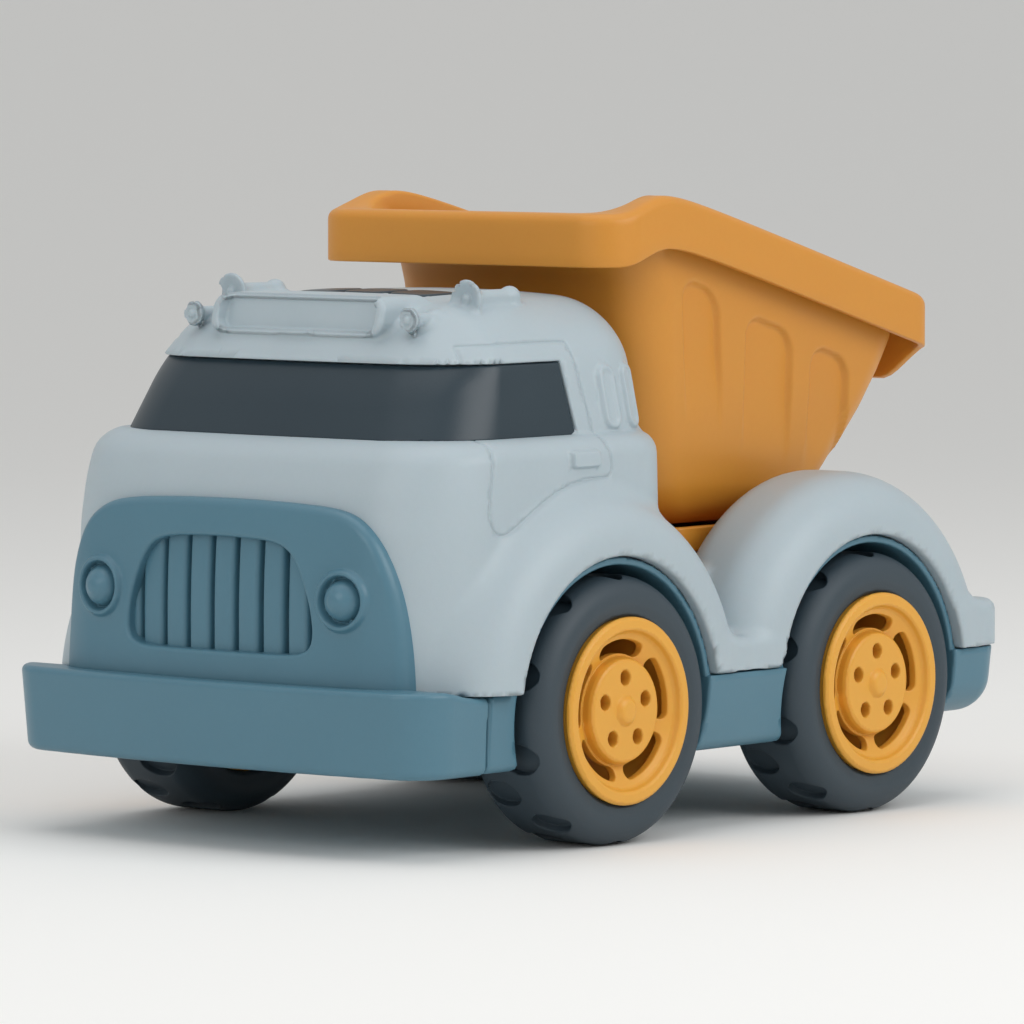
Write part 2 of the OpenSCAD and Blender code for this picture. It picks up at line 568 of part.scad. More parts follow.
module ring_solid(rings) {
    n = len(rings[0]);
    m = len(rings);
    polyhedron(points = [for (r = rings) for (p = r) p],
        faces = concat([[for (j = [0:n - 1]) j]], [[for (j = [n - 1:-1:0]) (m - 1) * n + j]],
            [for (i = [0:m - 2]) for (j = [0:n - 1]) for (h = [0, 1]) let (a = i * n + j, b = i * n + (j + 1) % n)
                h == 0 ? [a, a + n, b] : [b, a + n, b + n]]), convexity = 8);
}

module tipper_bed() color(mustard) in_frame() difference() {
    union() {
        ring_solid(bed_rings);
        // bosses for the foot's screws
        at_posts(foot_posts) translate([0, 0, foot_plate_z + 2.1]) cylinder(r = 4, h = wall_z0 - foot_plate_z - 1.6);
    }
    at_posts(foot_posts) translate([0, 0, foot_plate_z]) cylinder(r = pilot_r, h = wall_z0 + bed_wall - 0.8 - foot_plate_z);
}

// Frame under the bed, with a lug on each side for the hinge pin
module bed_foot() color(mustard) in_frame() difference() {
    union() {
        translate([0, 0, foot_z0]) linear_extrude(height = foot_h) difference() {
            round_plate(foot_x0, foot_x1, foot_y, 4, 4);
            round_plate(foot_x0 + bed_wall, foot_x1 - bed_wall, foot_y - bed_wall, 3, 3);
        }
        translate([foot_x0 + 1, -foot_y + 1, foot_plate_z]) cube([foot_x1 - foot_x0 - 2, 2 * foot_y - 2, 2]);
        both_sides() {
            translate([hinge_x, foot_y - 9, hinge_z]) along_y() cylinder(r = eye_r - 0.4, h = 4.9);
            translate([hinge_x, foot_y - 9, hinge_z - 2.4]) cube([foot_x0 - hinge_x + 3, 4.9, 4.8]);
        }
    }
    translate([hinge_x, -bay_y, hinge_z]) along_y() cylinder(r = pin_d / 2 + run_gap, h = bay_w);
    at_posts(foot_posts) translate([0, 0, foot_z0]) cylinder(r = screw_d / 2 + 0.15, h = 20);
}

module hinge_pin() color(steel) in_frame() translate([hinge_x, -foot_y - 0.3, hinge_z]) along_y() cylinder(r = pin_d / 2, h = 2 * foot_y + 0.6);

// ---------------------------------------------------------------- wheels

rim_out = tyre_w / 2 + 1.5;
hub_in = tyre_w / 2 - 0.5;
hub_bore = tyre_w / 2 - 4;
seat_r = rim_r - 0.6;
shoulder_r = min(6.5, 0.6 * (tyre_r - rim_r));

// Arc slot in the web, mid radius 16.75
module arc_slot() union() {
    difference() {
        intersection() {
            cylinder(r = 18.3, h = 40);
            linear_extrude(height = 40) polygon([[0, 0], [40 * cos(23), 40 * sin(23)], [60, 0], [40 * cos(23), -40 * sin(23)]]);
        }
        translate([0, 0, -1]) cylinder(r = 15.2, h = 42);
    }
    for (a = [-23, 23]) rotate([0, 0, a]) translate([16.75, 0, 0]) cylinder(r = 1.7, h = 40);
}

module wheel_centre() difference() {
    union() {
        rotate_extrude() polygon([[0, rim_out - 5.4], [seat_r - 2, rim_out - 5.4], [seat_r - 2, -hub_in], [seat_r, -hub_in],
            [seat_r, tyre_w / 2 - 0.6], [rim_r, tyre_w / 2 - 0.2], [rim_r, rim_out - 0.7], [rim_r - 0.7, rim_out], [rim_r - 3, rim_out], [rim_r - 3.7, rim_out - 0.6],
            [rim_r - 3.9, rim_out - 2.4], [rim_r - 4.6, rim_out - 3], [14.2, rim_out - 5.4 + rim_web], [14, rim_out - 5.2 + rim_web + 0.8], [13.4, rim_out - 1.8], [4.4, rim_out - 1.8],
            [3.9, rim_out - 1.2], [2.8, rim_out - 1.2], [2.5, rim_out - 0.5], [0, rim_out - 0.3]]);
        translate([0, 0, -hub_in]) cylinder(r = axle_d / 2 + 3.4, h = hub_in + rim_out - 5);
        for (a = [0:72:288]) rotate([0, 0, a + 54]) translate([0, -0.9, -hub_in + 3]) cube([seat_r - 1, 1.8, hub_in + rim_out - 8]);
    }
    translate([0, 0, -hub_in - 1]) cylinder(r = axle_d / 2 - press, h = hub_in + 1 + hub_bore);
    for (a = [0:72:288]) rotate([0, 0, a + 90]) {
        translate([8.8, 0, rim_out - 6]) cylinder(r = 2.07, h = 10);
        translate([0, 0, rim_out - 6]) arc_slot();
    }
}

module tyre_body() difference() {
    rotate_extrude() polygon(concat([[seat_r, -tyre_w / 2 + 1], [seat_r + 1, -tyre_w / 2]],
        arc([tyre_r - shoulder_r, -tyre_w / 2 + shoulder_r], shoulder_r, -90, 0, 7),
        arc([tyre_r - shoulder_r, tyre_w / 2 - shoulder_r], shoulder_r, 0, 90, 7),
        [[rim_r + min(2, 0.3 * (tyre_r - rim_r)), tyre_w / 2], [rim_r + 0.7, tyre_w / 2 - 0.8], [seat_r, tyre_w / 2 - 1.4]]));
    for (s = [-1, 1]) for (i = [0:notch_n - 1]) rotate([0, 0, 360 * (i + (s > 0 ? 0.5 : 0)) / notch_n])
        translate([tyre_r + 3.4 - notch_depth * 0.5, 0, s * (tyre_w / 2 - 0.6)]) rotate([0, s * 45, 0]) rotate([90, 0, 0]) cylinder(r = 5.2, h = 10, center = true, $fn = 36);
}

module place_wheel(x, side) in_frame() translate([x, side * track / 2, tyre_r]) rotate([-90 * side, 0, 0]) children();
module rim_front_left() color(rim_colour) place_wheel(xf, 1) wheel_centre();
module rim_front_right() color(rim_colour) place_wheel(xf, -1) wheel_centre();
module rim_rear_left() color(rim_colour) place_wheel(xr, 1) wheel_centre();
module rim_rear_right() color(rim_colour) place_wheel(xr, -1) wheel_centre();
module tyre_front_left() color(tyre_colour) place_wheel(xf, 1) tyre_body();
module tyre_front_right() color(tyre_colour) place_wheel(xf, -1) tyre_body();
module tyre_rear_left() color(tyre_colour) place_wheel(xr, 1) tyre_body();
module tyre_rear_right() color(tyre_colour) place_wheel(xr, -1) tyre_body();

axle_l = track + 2 * hub_bore - 1;
module axle(x) color(steel) in_frame() translate([x, -axle_l / 2, tyre_r]) along_y() union() {
    cylinder(r = axle_d / 2, h = axle_l);
}
module front_axle() axle(xf);
module rear_axle() axle(xr);

// ---------------------------------------------------------------- inserts and screws

module window_band() color(window_colour) in_frame() difference() {
    union() {
        intersection() { cab_form(0.5); window_zone(-0.3); }
        intersection() { cab_form(wall + 0.3); window_zone(2.2); }
    }
    cab_form(wall + 2);
    translate([cab_x0 - 10, -100, 0]) cube([42, 200, 200]);
}

module roof_lights() color(window_colour) in_frame() union() {
    for (y = [-16.5, 0, 16.5]) translate([cab_x0 + 43.4, y, cab_z - wall - 3]) linear_extrude(height = wall + 2.6)
        round_plate(0, 14.2, 6.8, 3.6, 3.6);
    translate([cab_x0 + 40, -26, cab_z - wall - 4.2]) cube([21, 52, 2]);
}

module body_screws() color(steel) in_frame() at_posts(body_posts) translate([0, 0, screw_z]) screw(seam_z - screw_z - 2);
module deck_screws() color(steel) in_frame() at_posts(deck_posts) translate([0, 0, screw_z]) screw(20);
module bed_screws() color(steel) in_frame() at_posts(foot_posts) translate([0, 0, foot_plate_z]) screw(wall_z0 + bed_wall - 1.4 - foot_plate_z);
module bumper_screws() color(steel) in_frame() at_posts(bumper_posts) translate([0, 0, bumper_screw_z]) rotate([0, 90, 0]) screw(10);

upper_body();
window_band();
roof_lights();
chassis_tub();
front_bumper();
grille_panel();
deck_plate();
tipper_bed();
bed_foot();
hinge_pin();
rim_front_left();
rim_front_right();
rim_rear_left();
rim_rear_right();
tyre_front_left();
tyre_front_right();
tyre_rear_left();
tyre_rear_right();
front_axle();
rear_axle();
body_screws();
deck_screws();
bed_screws();
bumper_screws();
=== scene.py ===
"""Looks of the push along dump truck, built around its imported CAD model.

Shapes are worked out in millimetres from the middle of the wheelbase, with X forward,
Y to the truck's left and Z up from the ground, and are then put in the CAD frame in metres.
A moulded piece is a distance field: negative inside, zero on its skin, positive outside.
In the fields, ya is the distance to either side of the truck's middle plane.
"""

import math

import bmesh
import bpy
import numpy as np
from mathutils import Matrix, Vector


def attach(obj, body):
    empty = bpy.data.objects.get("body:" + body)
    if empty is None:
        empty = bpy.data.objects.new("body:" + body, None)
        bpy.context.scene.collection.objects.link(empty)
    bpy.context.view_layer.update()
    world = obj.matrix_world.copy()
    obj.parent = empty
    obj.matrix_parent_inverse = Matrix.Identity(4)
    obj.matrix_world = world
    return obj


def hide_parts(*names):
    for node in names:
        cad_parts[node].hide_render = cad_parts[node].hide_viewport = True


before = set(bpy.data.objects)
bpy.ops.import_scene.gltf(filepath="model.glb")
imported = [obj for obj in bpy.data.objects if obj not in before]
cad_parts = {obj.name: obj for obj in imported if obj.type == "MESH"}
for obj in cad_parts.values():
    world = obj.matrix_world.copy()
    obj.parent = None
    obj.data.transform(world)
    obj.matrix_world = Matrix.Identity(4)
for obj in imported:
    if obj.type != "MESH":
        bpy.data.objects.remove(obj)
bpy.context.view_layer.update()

MM = 0.001
FAR = 1e9  # further than anything on the truck
NOSE_X, TAIL_X = 136.0, -123.0
X_SHIFT = 0.5 * (NOSE_X + TAIL_X)  # the CAD frame's origin is the middle of the length
AXLE_X = (55.0, -55.0)
WHEEL_RADIUS = 36.0
TRACK = 134.0
SEAM_Z = 43.0  # the upper body meets the chassis here
BODY_WELL, LINER_WELL = 41.0, 38.6  # openings round a wheel in the upper body and the chassis
HINGE_X, HINGE_Z = -75.0, 77.0  # axis of the bed's pin


# ---------------------------------------------------------------- distance fields


def soft_step(t):
    """0 below 0, 1 above 1, with a smooth rise between."""
    t = np.clip(t, 0.0, 1.0)
    return t * t * (3.0 - 2.0 * t)


def soft_curve(knots, values, softness):
    """A smooth curve through a moulding's measured stations."""
    knots, values = np.asarray(knots, float), np.asarray(values, float)
    pad = 4.0 * softness
    fine = np.linspace(knots[0] - pad, knots[-1] + pad, 1200)
    first = (values[1] - values[0]) / (knots[1] - knots[0])
    last = (values[-1] - values[-2]) / (knots[-1] - knots[-2])
    raw = np.interp(fine, knots, values)
    raw = np.where(fine < knots[0], values[0] + first * (fine - knots[0]), raw)
    raw = np.where(fine > knots[-1], values[-1] + last * (fine - knots[-1]), raw)
    gap = fine[1] - fine[0]
    reach = int(3 * softness / gap) + 1
    kernel = np.exp(-0.5 * (np.arange(-reach, reach + 1) * gap / softness) ** 2)
    smooth = np.convolve(np.pad(raw, reach, mode="edge"), kernel / kernel.sum(), mode="valid")
    return lambda t: np.interp(t, fine, smooth)


def round_cut(a, b, radius):
    """What is inside both fields, with the edge between them rounded."""
    return np.minimum(-radius, np.maximum(a, b)) + np.hypot(
        np.maximum(a + radius, 0.0), np.maximum(b + radius, 0.0)
    )


def round_join(a, b, radius):
    """What is inside either field, with a fillet between them."""
    return -round_cut(-a, -b, radius)


def rounded_corner(px, py, radius):
    """Flat corner of two straight sides, given by how far a point is past each side's start."""
    return (
        np.minimum(np.maximum(px, py), 0.0)
        + np.hypot(np.maximum(px, 0.0), np.maximum(py, 0.0))
        - radius
    )


def round_plate(px, py, half_x, half_y, radius):
    """Flat rounded rectangle about the origin."""
    return rounded_corner(np.abs(px) - (half_x - radius), np.abs(py) - (half_y - radius), radius)


def span(v, low, high):
    """Slab between two values."""
    return np.abs(v - 0.5 * (low + high)) - 0.5 * (high - low)


def from_axle(x, z, axle_x):
    """Distance from an axle, seen from the side."""
    return np.hypot(x - axle_x, z - WHEEL_RADIUS)


def from_hinge(x, z):
    """Distance from the bed's pin, seen from the side."""
    return np.hypot(x - HINGE_X, z - HINGE_Z)


def folded(angle, share):
    """Brings an angle to the nearest of the equal shares of a turn."""
    return angle - share * np.round(angle / share)


def polygon_field(px, py, points):
    """Distance to a closed flat outline."""
    points = np.asarray(points, float)
    nearest = np.full(np.broadcast(px, py).shape, FAR)
    sign = np.ones(nearest.shape)
    for (ax, ay), (bx, by) in zip(points, np.roll(points, 1, axis=0)):
        ex, ey = bx - ax, by - ay
        wx, wy = px - ax, py - ay
        t = np.clip((wx * ex + wy * ey) / (ex * ex + ey * ey), 0.0, 1.0)
        nearest = np.minimum(nearest, (wx - ex * t) ** 2 + (wy - ey * t) ** 2)
        above, below = py >= ay, py < by
        left = ex * wy > ey * wx
        sign = np.where((above & below & left) | (~above & ~below & ~left), -sign, sign)
    return sign * np.sqrt(nearest)


def baked_outline(points, margin, pitch, rounds=3):
    """A smooth closed outline, kept as a fine table so that it is quick to read."""
    points = np.asarray(points, float)
    for _ in range(rounds):
        following = np.roll(points, -1, axis=0)
        points = np.stack([0.75 * points + 0.25 * following, 0.25 * points + 0.75 * following], 1)
        points = points.reshape(-1, 2)
    low, high = points.min(0) - margin, points.max(0) + margin
    us, vs = np.arange(low[0], high[0], pitch), np.arange(low[1], high[1], pitch)
    table = polygon_field(us[:, None], vs[None, :], points)

    def read(u, v):
        gu = np.clip((u - low[0]) / pitch, 0, len(us) - 1.001)
        gv = np.clip((v - low[1]) / pitch, 0, len(vs) - 1.001)
        iu, iv = gu.astype(int), gv.astype(int)
        fu, fv = gu - iu, gv - iv
        return (table[iu, iv] * (1 - fu) + table[iu + 1, iv] * fu) * (1 - fv) + (
            table[iu, iv + 1] * (1 - fu) + table[iu + 1, iv + 1] * fu
        ) * fv

    return read


# ---------------------------------------------------------------- skins of the fields


def skin_of(field, low, high, step):
    """Quads over a field's zero surface, one corner in each grid cell that it crosses."""
    lines = [np.arange(a, b + step, step) for a, b in zip(low, high)]
    grid = np.array(
        np.broadcast_to(
            field(lines[0][:, None, None], lines[1][None, :, None], lines[2][None, None, :]),
            [len(a) for a in lines],
        ),
        dtype=np.float32,
    )
    on_skin = 1e-5
    grid[np.abs(grid) < on_skin] = on_skin
    inside = (grid < 0).astype(np.int8)
    cells = [count - 1 for count in inside.shape]
    corners = sum(
        inside[i : i + cells[0], j : j + cells[1], k : k + cells[2]]
        for i in (0, 1)
        for j in (0, 1)
        for k in (0, 1)
    )
    active = (corners > 0) & (corners < 8)
    number = np.full(active.shape, -1, dtype=np.int64)
    total = int(active.sum())
    number[active] = np.arange(total)
    place, hits, quads = np.zeros((total, 3)), np.zeros(total), []
    for axis in range(3):
        one, two = (axis + 1) % 3, (axis + 2) % 3
        a, b = [slice(None)] * 3, [slice(None)] * 3
        a[axis], b[axis] = slice(0, -1), slice(1, None)
        va, vb = grid[tuple(a)], grid[tuple(b)]
        crossing = (va < 0) != (vb < 0)
        at = np.argwhere(crossing)
        first, second = va[crossing], vb[crossing]
        spot = at.astype(float)
        spot[:, axis] += first / (first - second)
        ring = []
        for d1, d2 in ((-1, -1), (0, -1), (0, 0), (-1, 0)):
            cell = at.copy()
            cell[:, one] += d1
            cell[:, two] += d2
            ids = number[cell[:, 0], cell[:, 1], cell[:, 2]]
            ring.append(ids)
            hits += np.bincount(ids, minlength=total)
            for c in range(3):
                place[:, c] += np.bincount(ids, weights=spot[:, c], minlength=total)
        quad = np.stack(ring, 1)
        quads.append(np.where((first < 0)[:, None], quad, quad[:, ::-1]))
    points = place / hits[:, None] * step + np.asarray(low, float)
    return points, np.concatenate(quads)


def steepness(field, points, reach=0.06):
    """Slope of a field at each point."""
    slope = np.empty_like(points)
    for c in range(3):
        ahead, behind = points.copy(), points.copy()
        ahead[:, c] += reach
        behind[:, c] -= reach
        slope[:, c] = (field(*ahead.T) - field(*behind.T)) / (2 * reach)
    return slope


def normals_of(field, points, reach=0.06):
    """Directions straight out of the skin."""
    slope = steepness(field, points, reach)
    return slope / np.maximum(np.linalg.norm(slope, axis=1, keepdims=True), 1e-9)


def settle(field, points, rounds, limit):
    """Moves points onto the field's skin."""
    for _ in range(rounds):
        slope = steepness(field, points)
        move = -field(*points.T)[:, None] * slope / np.maximum((slope**2).sum(1), 0.1)[:, None]
        size = np.linalg.norm(move, axis=1, keepdims=True)
        points = points + move * np.minimum(1.0, limit / np.maximum(size, 1e-9))
    return points


def even_out(field, points, edges, amount):
    """Slides points along the skin towards the middle of their neighbours."""
    total = len(points)
    both = np.concatenate([edges, edges[:, ::-1]])
    count = np.bincount(both[:, 0], minlength=total)
    sums = [np.bincount(both[:, 0], points[both[:, 1], c], total) for c in range(3)]
    mean = np.stack(sums, 1) / np.maximum(count, 1)[:, None]
    normal = normals_of(field, points)
    shift = mean - points
    shift -= (shift * normal).sum(1, keepdims=True) * normal
    return points + amount * shift


def as_mesh(name, points, faces):
    """Mesh of faces that all have the same number of sides."""
    mesh = bpy.data.meshes.new(name)
    mesh.vertices.add(len(points))
    mesh.vertices.foreach_set("co", np.asarray(points, np.float32).ravel())
    faces = np.asarray(faces, np.int32)
    sides = faces.shape[1]
    mesh.loops.add(faces.size)
    mesh.loops.foreach_set("vertex_index", faces.ravel())
    mesh.polygons.add(len(faces))
    mesh.polygons.foreach_set("loop_start", np.arange(0, faces.size, sides, dtype=np.int32))
    mesh.update(calc_edges=True)
    return mesh


def corners_of(mesh):
    """Places of a mesh's corners, one to a row."""
    co = np.empty(len(mesh.vertices) * 3, np.float32)
    mesh.vertices.foreach_get("co", co)
    return co.reshape(-1, 3).astype(float)


def edges_of(mesh):
    """Numbers of the two corners of each edge, one edge to a row."""
    ends = np.empty(len(mesh.edges) * 2, np.int32)
    mesh.edges.foreach_get("vertices", ends)
    return ends.reshape(-1, 2)


def split_near(mesh, wanted):
    """Halves the edges where finer detail is wanted."""
    hot = wanted(*corners_of(mesh).T)
    work = bmesh.new()
    work.from_mesh(mesh)
    chosen = [e for e in work.edges if hot[e.verts[0].index] and hot[e.verts[1].index]]
    bmesh.ops.subdivide_edges(work, edges=chosen, cuts=1, use_grid_fill=True)
    work.to_mesh(mesh)
    work.free()


def in_frame(points):
    """Millimetres from the middle of the wheelbase to the CAD frame's metres."""
    return (points - np.array([X_SHIFT, 0.0, 0.0])) * MM


ROUND_MIDDLE = 0.293  # how deep a quarter round's middle lies in its corner, for a radius of 1


def draw_to_edges(points, links, rounded_edges, size):
    """Brings the nearest row of corners onto the middle of each rounded edge, so that it runs
    clean. An edge is given by the two fields that meet there and its radius."""
    points, held = points.copy(), np.zeros(len(points), bool)
    for one, two, radius in rounded_edges:
        band = 1.6 * size + radius
        b = two(*points.T)
        near = np.abs(b) < band
        a = np.full(len(points), FAR)
        a[near] = one(*points[near].T)
        near &= np.abs(a) < band
        gap = a - b
        ends = links[near[links].all(1)]
        ends = ends[(gap[ends[:, 0]] > 0) != (gap[ends[:, 1]] > 0)]
        first_nearer = np.abs(gap[ends[:, 0]]) < np.abs(gap[ends[:, 1]])
        close = np.unique(np.where(first_nearer, ends[:, 0], ends[:, 1]))
        spot = points[close]
        for _ in range(4):
            slope_a, slope_b = steepness(one, spot), steepness(two, spot)
            need_a, need_b = (-ROUND_MIDDLE * radius - f(*spot.T) for f in (one, two))
            aa = (slope_a * slope_a).sum(1)
            ab = (slope_a * slope_b).sum(1)
            bb = (slope_b * slope_b).sum(1)
            scale = np.maximum(aa * bb - ab * ab, 0.05)
            move = ((bb * need_a - ab * need_b) / scale)[:, None] * slope_a
            move += ((aa * need_b - ab * need_a) / scale)[:, None] * slope_b
            reach = np.linalg.norm(move, axis=1, keepdims=True)
            spot = spot + move * np.minimum(1.0, 0.7 * size / np.maximum(reach, 1e-9))
        points[close] = spot
        held[close] = True
    return points, held


def ease_beside(field, points, edges, held, size):
    """Evens the three rows of corners beside the held ones, so that no face is pinched."""
    beside = held.copy()
    for _ in range(3):
        beside[edges[beside[edges].any(1)].ravel()] = True
    beside &= ~held
    for _ in range(2 if beside.any() else 0):
        evened = even_out(field, points, edges, amount=0.5)
        points[beside] = settle(field, evened[beside], rounds=1, limit=0.4 * size)


def moulded(name, field, low, high, step, finer=(), even=2, rounded_edges=()):
    """A plain mesh over a field, with its shading taken from the field itself. Each entry of
    finer halves the faces once more where it is true."""
    points, quads = skin_of(field, low, high, step)
    points = settle(field, points, rounds=2, limit=0.5 * step)
    mesh = as_mesh(name, points, quads)
    edges = edges_of(mesh)
    for _ in range(even):
        points = even_out(field, points, edges, amount=0.6)
        points = settle(field, points, rounds=1, limit=0.4 * step)
    points, held = draw_to_edges(points, edges, rounded_edges, step)
    mesh.vertices.foreach_set("co", points.astype(np.float32).ravel())
    size = step
    for wanted in finer:
        split_near(mesh, wanted)
        size *= 0.5
        points = settle(field, corners_of(mesh), rounds=3, limit=0.5 * size)
        edges = edges_of(mesh)
        points = even_out(field, points, edges, amount=0.35)
        points = settle(field, points, rounds=3, limit=0.4 * size)
        points, held = draw_to_edges(points, edges, rounded_edges, size)
        ease_beside(field, points, edges, held, size)
        mesh.vertices.foreach_set("co", points.astype(np.float32).ravel())
    finish_mesh(mesh, in_frame(points), normals_of(field, points, 0.12))
    return mesh


def finish_mesh(mesh, points, normals=None, flip=False):
    """Puts the corners in the CAD frame and gives the mesh its smooth shading."""
    mesh.vertices.foreach_set("co", np.asarray(points, np.float32).ravel())
    if flip:
        mesh.flip_normals()
    mesh.update()
    mesh.shade_smooth()
    if normals is not None:
        mesh.normals_split_custom_set_from_vertices(normals.astype(np.float32).tolist())


def add_piece(name, mesh, finish, body, slot, *stands_for):
    """One finished piece, on its moving body and in place of its CAD nodes."""
    piece = bpy.data.objects.new(name, mesh)
    bpy.context.scene.collection.objects.link(piece)
    mesh.materials.clear()
    mesh.materials.append(finish)
    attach(piece, body)
    if stands_for:
        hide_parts(*stands_for)
    return piece


# ---------------------------------------------------------------- finishes


def linear(hex_colour):
    """sRGB hex to the linear colour that a shader takes."""
    parts = [int(hex_colour[i : i + 2], 16) / 255 for i in (1, 3, 5)]
    return [p / 12.92 if p <= 0.04045 else ((p + 0.055) / 1.055) ** 2.4 for p in parts] + [1.0]


def add_node(tree, kind, settings=None, values=None, links=None):
    """Adds a node with its settings, its input values and its incoming links."""
    node = tree.nodes.new(kind)
    for key, value in (settings or {}).items():
        setattr(node, key, value)
    for key, value in (values or {}).items():
        node.inputs[key].default_value = value
    for key, source in (links or {}).items():
        tree.links.new(source, node.inputs[key])
    return node


def blank_material(name):
    """New material with an empty tree, and the place on the piece that its patterns read."""
    material = bpy.data.materials.new(name)
    material.use_nodes = True
    tree = material.node_tree
    tree.nodes.clear()
    return material, tree, add_node(tree, "ShaderNodeTexCoord").outputs["Object"]


CLOUD_MM, FLECK_MM, SINK_MM = 28, 1.6, 17  # sizes of the mix's clouds and flecks and of sink marks


def moulded_plastic(name, light, dark, roughness, grain_mm, grain_depth, soft=0.0):
    """Injection moulded plastic: one even colour with a faint cloudiness of the mix,
    a spark-eroded tool's fine grain and slow sink marks that bend the reflections."""
    material, tree, where = blank_material(name)
    cloud = add_node(
        tree, "ShaderNodeTexNoise", None,
        {"Scale": 1 / (CLOUD_MM * MM), "Detail": 3.0, "Roughness": 0.5}, {"Vector": where},
    )
    fleck = add_node(
        tree, "ShaderNodeTexNoise", None,
        {"Scale": 1 / (FLECK_MM * MM), "Detail": 2.0, "Roughness": 0.6}, {"Vector": where},
    )
    both = add_node(
        tree, "ShaderNodeMix", {"data_type": "FLOAT"}, {0: 0.35},
        {2: cloud.outputs["Fac"], 3: fleck.outputs["Fac"]},
    )
    tint = add_node(
        tree, "ShaderNodeMix", {"data_type": "RGBA"}, {6: linear(dark), 7: linear(light)},
        {0: both.outputs[0]},
    )
    spread = 0.035
    sheen = add_node(
        tree, "ShaderNodeMapRange", None,
        {
            "From Min": 0.3, "From Max": 0.7,
            "To Min": roughness - spread, "To Max": roughness + spread,
        },
        {"Value": cloud.outputs["Fac"]},
    )
    grain = add_node(
        tree, "ShaderNodeTexNoise", None,
        {"Scale": 1 / (grain_mm * MM), "Detail": 2.0, "Roughness": 0.55}, {"Vector": where},
    )
    sink = add_node(
        tree, "ShaderNodeTexNoise", None, {"Scale": 1 / (SINK_MM * MM), "Detail": 1.0},
        {"Vector": where},
    )
    slow = add_node(
        tree, "ShaderNodeBump", None, {"Strength": 0.25, "Distance": 0.12 * MM},
        {"Height": sink.outputs["Fac"]},
    )
    fine = add_node(
        tree, "ShaderNodeBump", None, {"Strength": 0.35, "Distance": grain_depth * MM},
        {"Height": grain.outputs["Fac"], "Normal": slow.outputs["Normal"]},
    )
    shader = add_node(
        tree, "ShaderNodeBsdfPrincipled", None,
        {"IOR": 1.5, "Subsurface Weight": soft, "Subsurface Scale": 1.2 * MM},
        {
            "Base Color": tint.outputs[2],
            "Roughness": sheen.outputs["Result"],
            "Normal": fine.outputs["Normal"],
        },
    )
    add_node(tree, "ShaderNodeOutputMaterial", None, None, {"Surface": shader.outputs["BSDF"]})
    return material


def drawn_steel(name, colour, roughness):
    """Drawn and tumbled steel wire: fine lines along the wire and a dull mirror."""
    material, tree, where = blank_material(name)
    spread = add_node(
        tree, "ShaderNodeMapping", None, {"Scale": (1.0, 0.06, 1.0)}, {"Vector": where}
    )
    lines = add_node(
        tree, "ShaderNodeTexNoise", None, {"Scale": 1 / (0.5 * MM), "Detail": 3.0},
        {"Vector": spread.outputs["Vector"]},
    )
    rough = add_node(
        tree, "ShaderNodeMapRange", None,
        {"To Min": roughness - 0.06, "To Max": roughness + 0.08}, {"Value": lines.outputs["Fac"]},
    )
    bump = add_node(
        tree, "ShaderNodeBump", None, {"Strength": 0.2, "Distance": 0.02 * MM},
        {"Height": lines.outputs["Fac"]},
    )
    shader = add_node(
        tree, "ShaderNodeBsdfPrincipled", None, {"Base Color": linear(colour), "Metallic": 1.0},
        {"Roughness": rough.outputs["Result"], "Normal": bump.outputs["Normal"]},
    )
    add_node(tree, "ShaderNodeOutputMaterial", None, None, {"Surface": shader.outputs["BSDF"]})
    return material


# Pale grey-blue polypropylene: satin, a little milky, broad soft highlights.
pale_polypropylene = moulded_plastic(
    "pale blue polypropylene, satin moulded", "#B0BEC5", "#A7B5BC", 0.43, 0.42, 0.05, soft=0.06
)
# Teal polypropylene of the chassis and the nose: the same tool finish in a deeper mix.
teal_polypropylene = moulded_plastic(
    "teal polypropylene, satin moulded", "#537E90", "#4D7688", 0.36, 0.42, 0.05, soft=0.03
)
# Mustard polypropylene of the bed and the deck: warm and satin.
mustard_polypropylene = moulded_plastic(
    "mustard polypropylene, satin moulded", "#D79233", "#CE892D", 0.44, 0.5, 0.05, soft=0.08
)
# Yellow wheel centres: brighter mix, smoother tool, so a crisper light line on each step.
yellow_wheel_plastic = moulded_plastic(
    "yellow wheel polypropylene, satin moulded", "#E7A93F", "#DFA038", 0.38, 0.35, 0.03, soft=0.08
)
# Dark slate window insert: polished face with a faint flow grain, the glossiest piece.
slate_window_plastic = moulded_plastic(
    "slate window insert, polished moulded", "#243640", "#1F303A", 0.34, 0.6, 0.06
)
# Tyres: soft slate thermoplastic rubber, wide dull sheen and a sandy touch.
slate_tyre_rubber = moulded_plastic(
    "slate tyre thermoplastic rubber, eroded finish", "#36444D", "#303D46", 0.54, 0.45, 0.09
)
zinc_steel = drawn_steel("zinc plated drawn steel", "#C3C6C8", 0.34)


# ---------------------------------------------------------------- cab

SHOULDER_Z = 108.7  # top of the lower cab, where the windows start
NOSE_BOW, SCREEN_BOW = 1000.0, 1250.0  # how slowly the nose and the screen bow back sideways
nose_inset = soft_curve(
    [40, 60, 72, 85, 95.5, 102, 106, 110], [0, 0.05, 0.3, 1.1, 2.9, 5.0, 7.2, 10.2], 1.6
)
side_inset = soft_curve([40, 84, 102.6, 112], [0, 0.2, 0.7, 1.2], 4.0)
roof_crown = soft_curve(
    [5, 29, 50, 67.6, 75.5, 83.5, 90, 95, 102, 110],
    [145.0, 145.6, 145.9, 145.7, 144.9, 143.3, 141.7, 139.8, 136.0, 131.5], 3.0,
)


def front_share(x):
    """How much of the nose's bow and lean a place has: none behind, all at the front."""
    return soft_step((x - 58.0) / 32.0)


